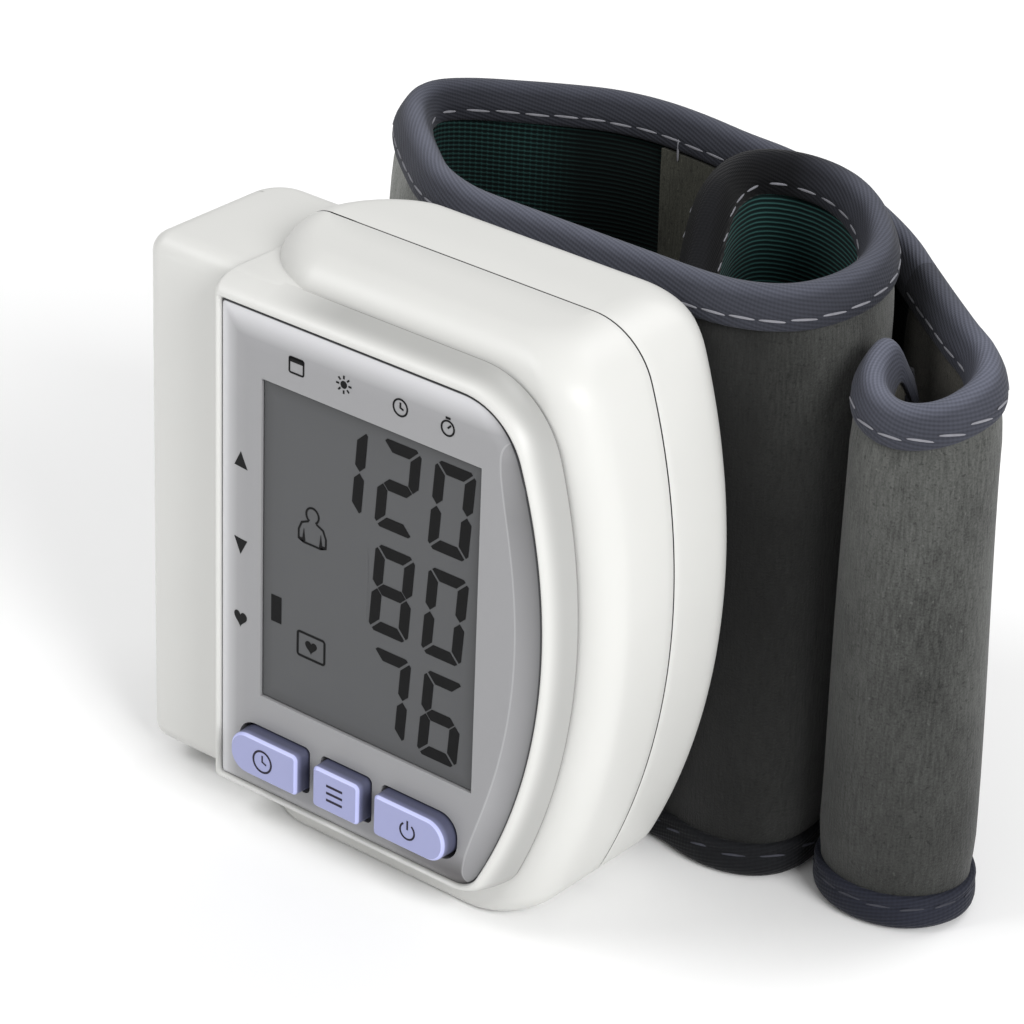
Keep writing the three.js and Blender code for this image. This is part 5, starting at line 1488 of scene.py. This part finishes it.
def stitch_line(band, side, foot, ends):
    """One row of dashes at even steps along the tape's own face, which is longer than the band outside a
    bend. Each sways a little from the line. The ends are how far the row stays from the band's two ends."""
    line = band.spot + side * STITCH_OFF * band.out
    length = run_length(line)
    count = np.arange(int((length[-1] - sum(ends)) / STITCH_PITCH))
    step = ends[0] + STITCH_PITCH * count + STITCH_SWAY * np.sin(7.3 * count)
    at = np.interp(step, length, band.length)
    z = np.full_like(at, STITCH_DROP) if foot else np.interp(at, band.length, band.top) - STITCH_DROP
    return stitches(band, at, side, z + 0.5 * STITCH_SWAY * np.sin(4.1 * count))


def stitch_rows(band, foot, ends):
    """The rows on both faces of one tape."""
    return [stitch_line(band, side, foot, ends) for side in (1, -1)]


LOOP_ENDS, TAIL_ENDS = (6.0, 2.5), (2.0, 6.0)
thread = printed("pale_thread", linear(128, 128, 134), 0.8)
# The foot stitches use the same thread darkened, as painted shade at the foot.
dim_thread = printed("dim_thread", linear(62, 63, 70), 0.8)
tack_z = np.interp([TACK_AT], loop.length, loop.top) - TACK_DROP
tack = stitches(loop, np.array([TACK_AT]), -1, tack_z, upright=True)
upper = joined(*stitch_rows(loop, False, LOOP_ENDS), tack)
lower = joined(*stitch_rows(loop, True, LOOP_ENDS))
cuff_threads = [
    add_piece("cuff_stitches", *upper, thread, "binding_tape"),
    add_piece("cuff_foot_stitches", *lower, dim_thread, "binding_tape"),
]
upper, lower = (joined(*stitch_rows(tail, foot, TAIL_ENDS)) for foot in (False, True))
tail_threads = [
    add_piece("tail_stitches", *upper, thread, "binding_tape", body=None),
    add_piece("tail_foot_stitches", *lower, dim_thread, "binding_tape", body=None),
]
for row in tail_threads:
    bend_at_root(row)

# Inner parts: what the case hides, down to the cells, contacts, board, pump and valve.
# They keep their CAD shapes and get plain plastics, rubbers and metals.
def plated(name, colour, roughness=0.3):
    """Plated metal with fine drawn lines in its gloss."""
    material = new_finish(name, colour, roughness, Metallic=1.0)
    stretch = {"Vector": own_place(material), "Scale": (3000.0, 3000.0, 200.0)}
    lines = noise(material, add_node(material, "ShaderNodeMapping", stretch).outputs["Vector"], 1.0, 2.0)
    into_shader(material, Roughness=map_range(material, lines, 0.0, 1.0, roughness * 0.7, roughness * 1.3))
    return material


INNER_FINISHES = (
    (moulded("cream_plastic", linear(214, 209, 193)), ("battery_cradle", "lcd_holder", "cuff_plate")),
    (moulded("black_rubber", linear(30, 30, 31), 0.7), ("zebra_strip", "air_bladder")),
    (moulded("black_plastic", linear(30, 30, 31), 0.5), (
        "microcontroller", "buzzer", "pressure_sensor", "pump_head", "release_valve", "air_manifold",
        "air_nipple", "time_switch", "memory_switch", "power_switch",
    )),
    (moulded("lcd_glass", linear(140, 146, 138), 0.15), ("lcd_glass",)),
    (moulded("circuit_board", linear(48, 108, 62), 0.4), ("main_board",)),
    (moulded("silicone", linear(222, 225, 224), 0.5), ("pump_tube", "valve_tube")),
    (moulded("cell_jacket", linear(58, 89, 140), 0.3), ("battery_1", "battery_2")),
    (plated("plated_steel", linear(183, 187, 189)), (
        "case_screw_1", "case_screw_2", "case_screw_3", "case_screw_4", "pump_motor",
    )),
    (plated("plated_brass", linear(193, 165, 90)), (
        "contact_bridge", "contact_minus", "contact_plus", "contact_spring_1", "contact_spring_2",
    )),
)
for finish, nodes in INNER_FINISHES:
    for node in nodes:
        finishes = bpy.data.objects[node].data.materials
        if len(finishes) == 0:
            finishes.append(finish)
        for index in range(len(finishes)):
            finishes[index] = finish
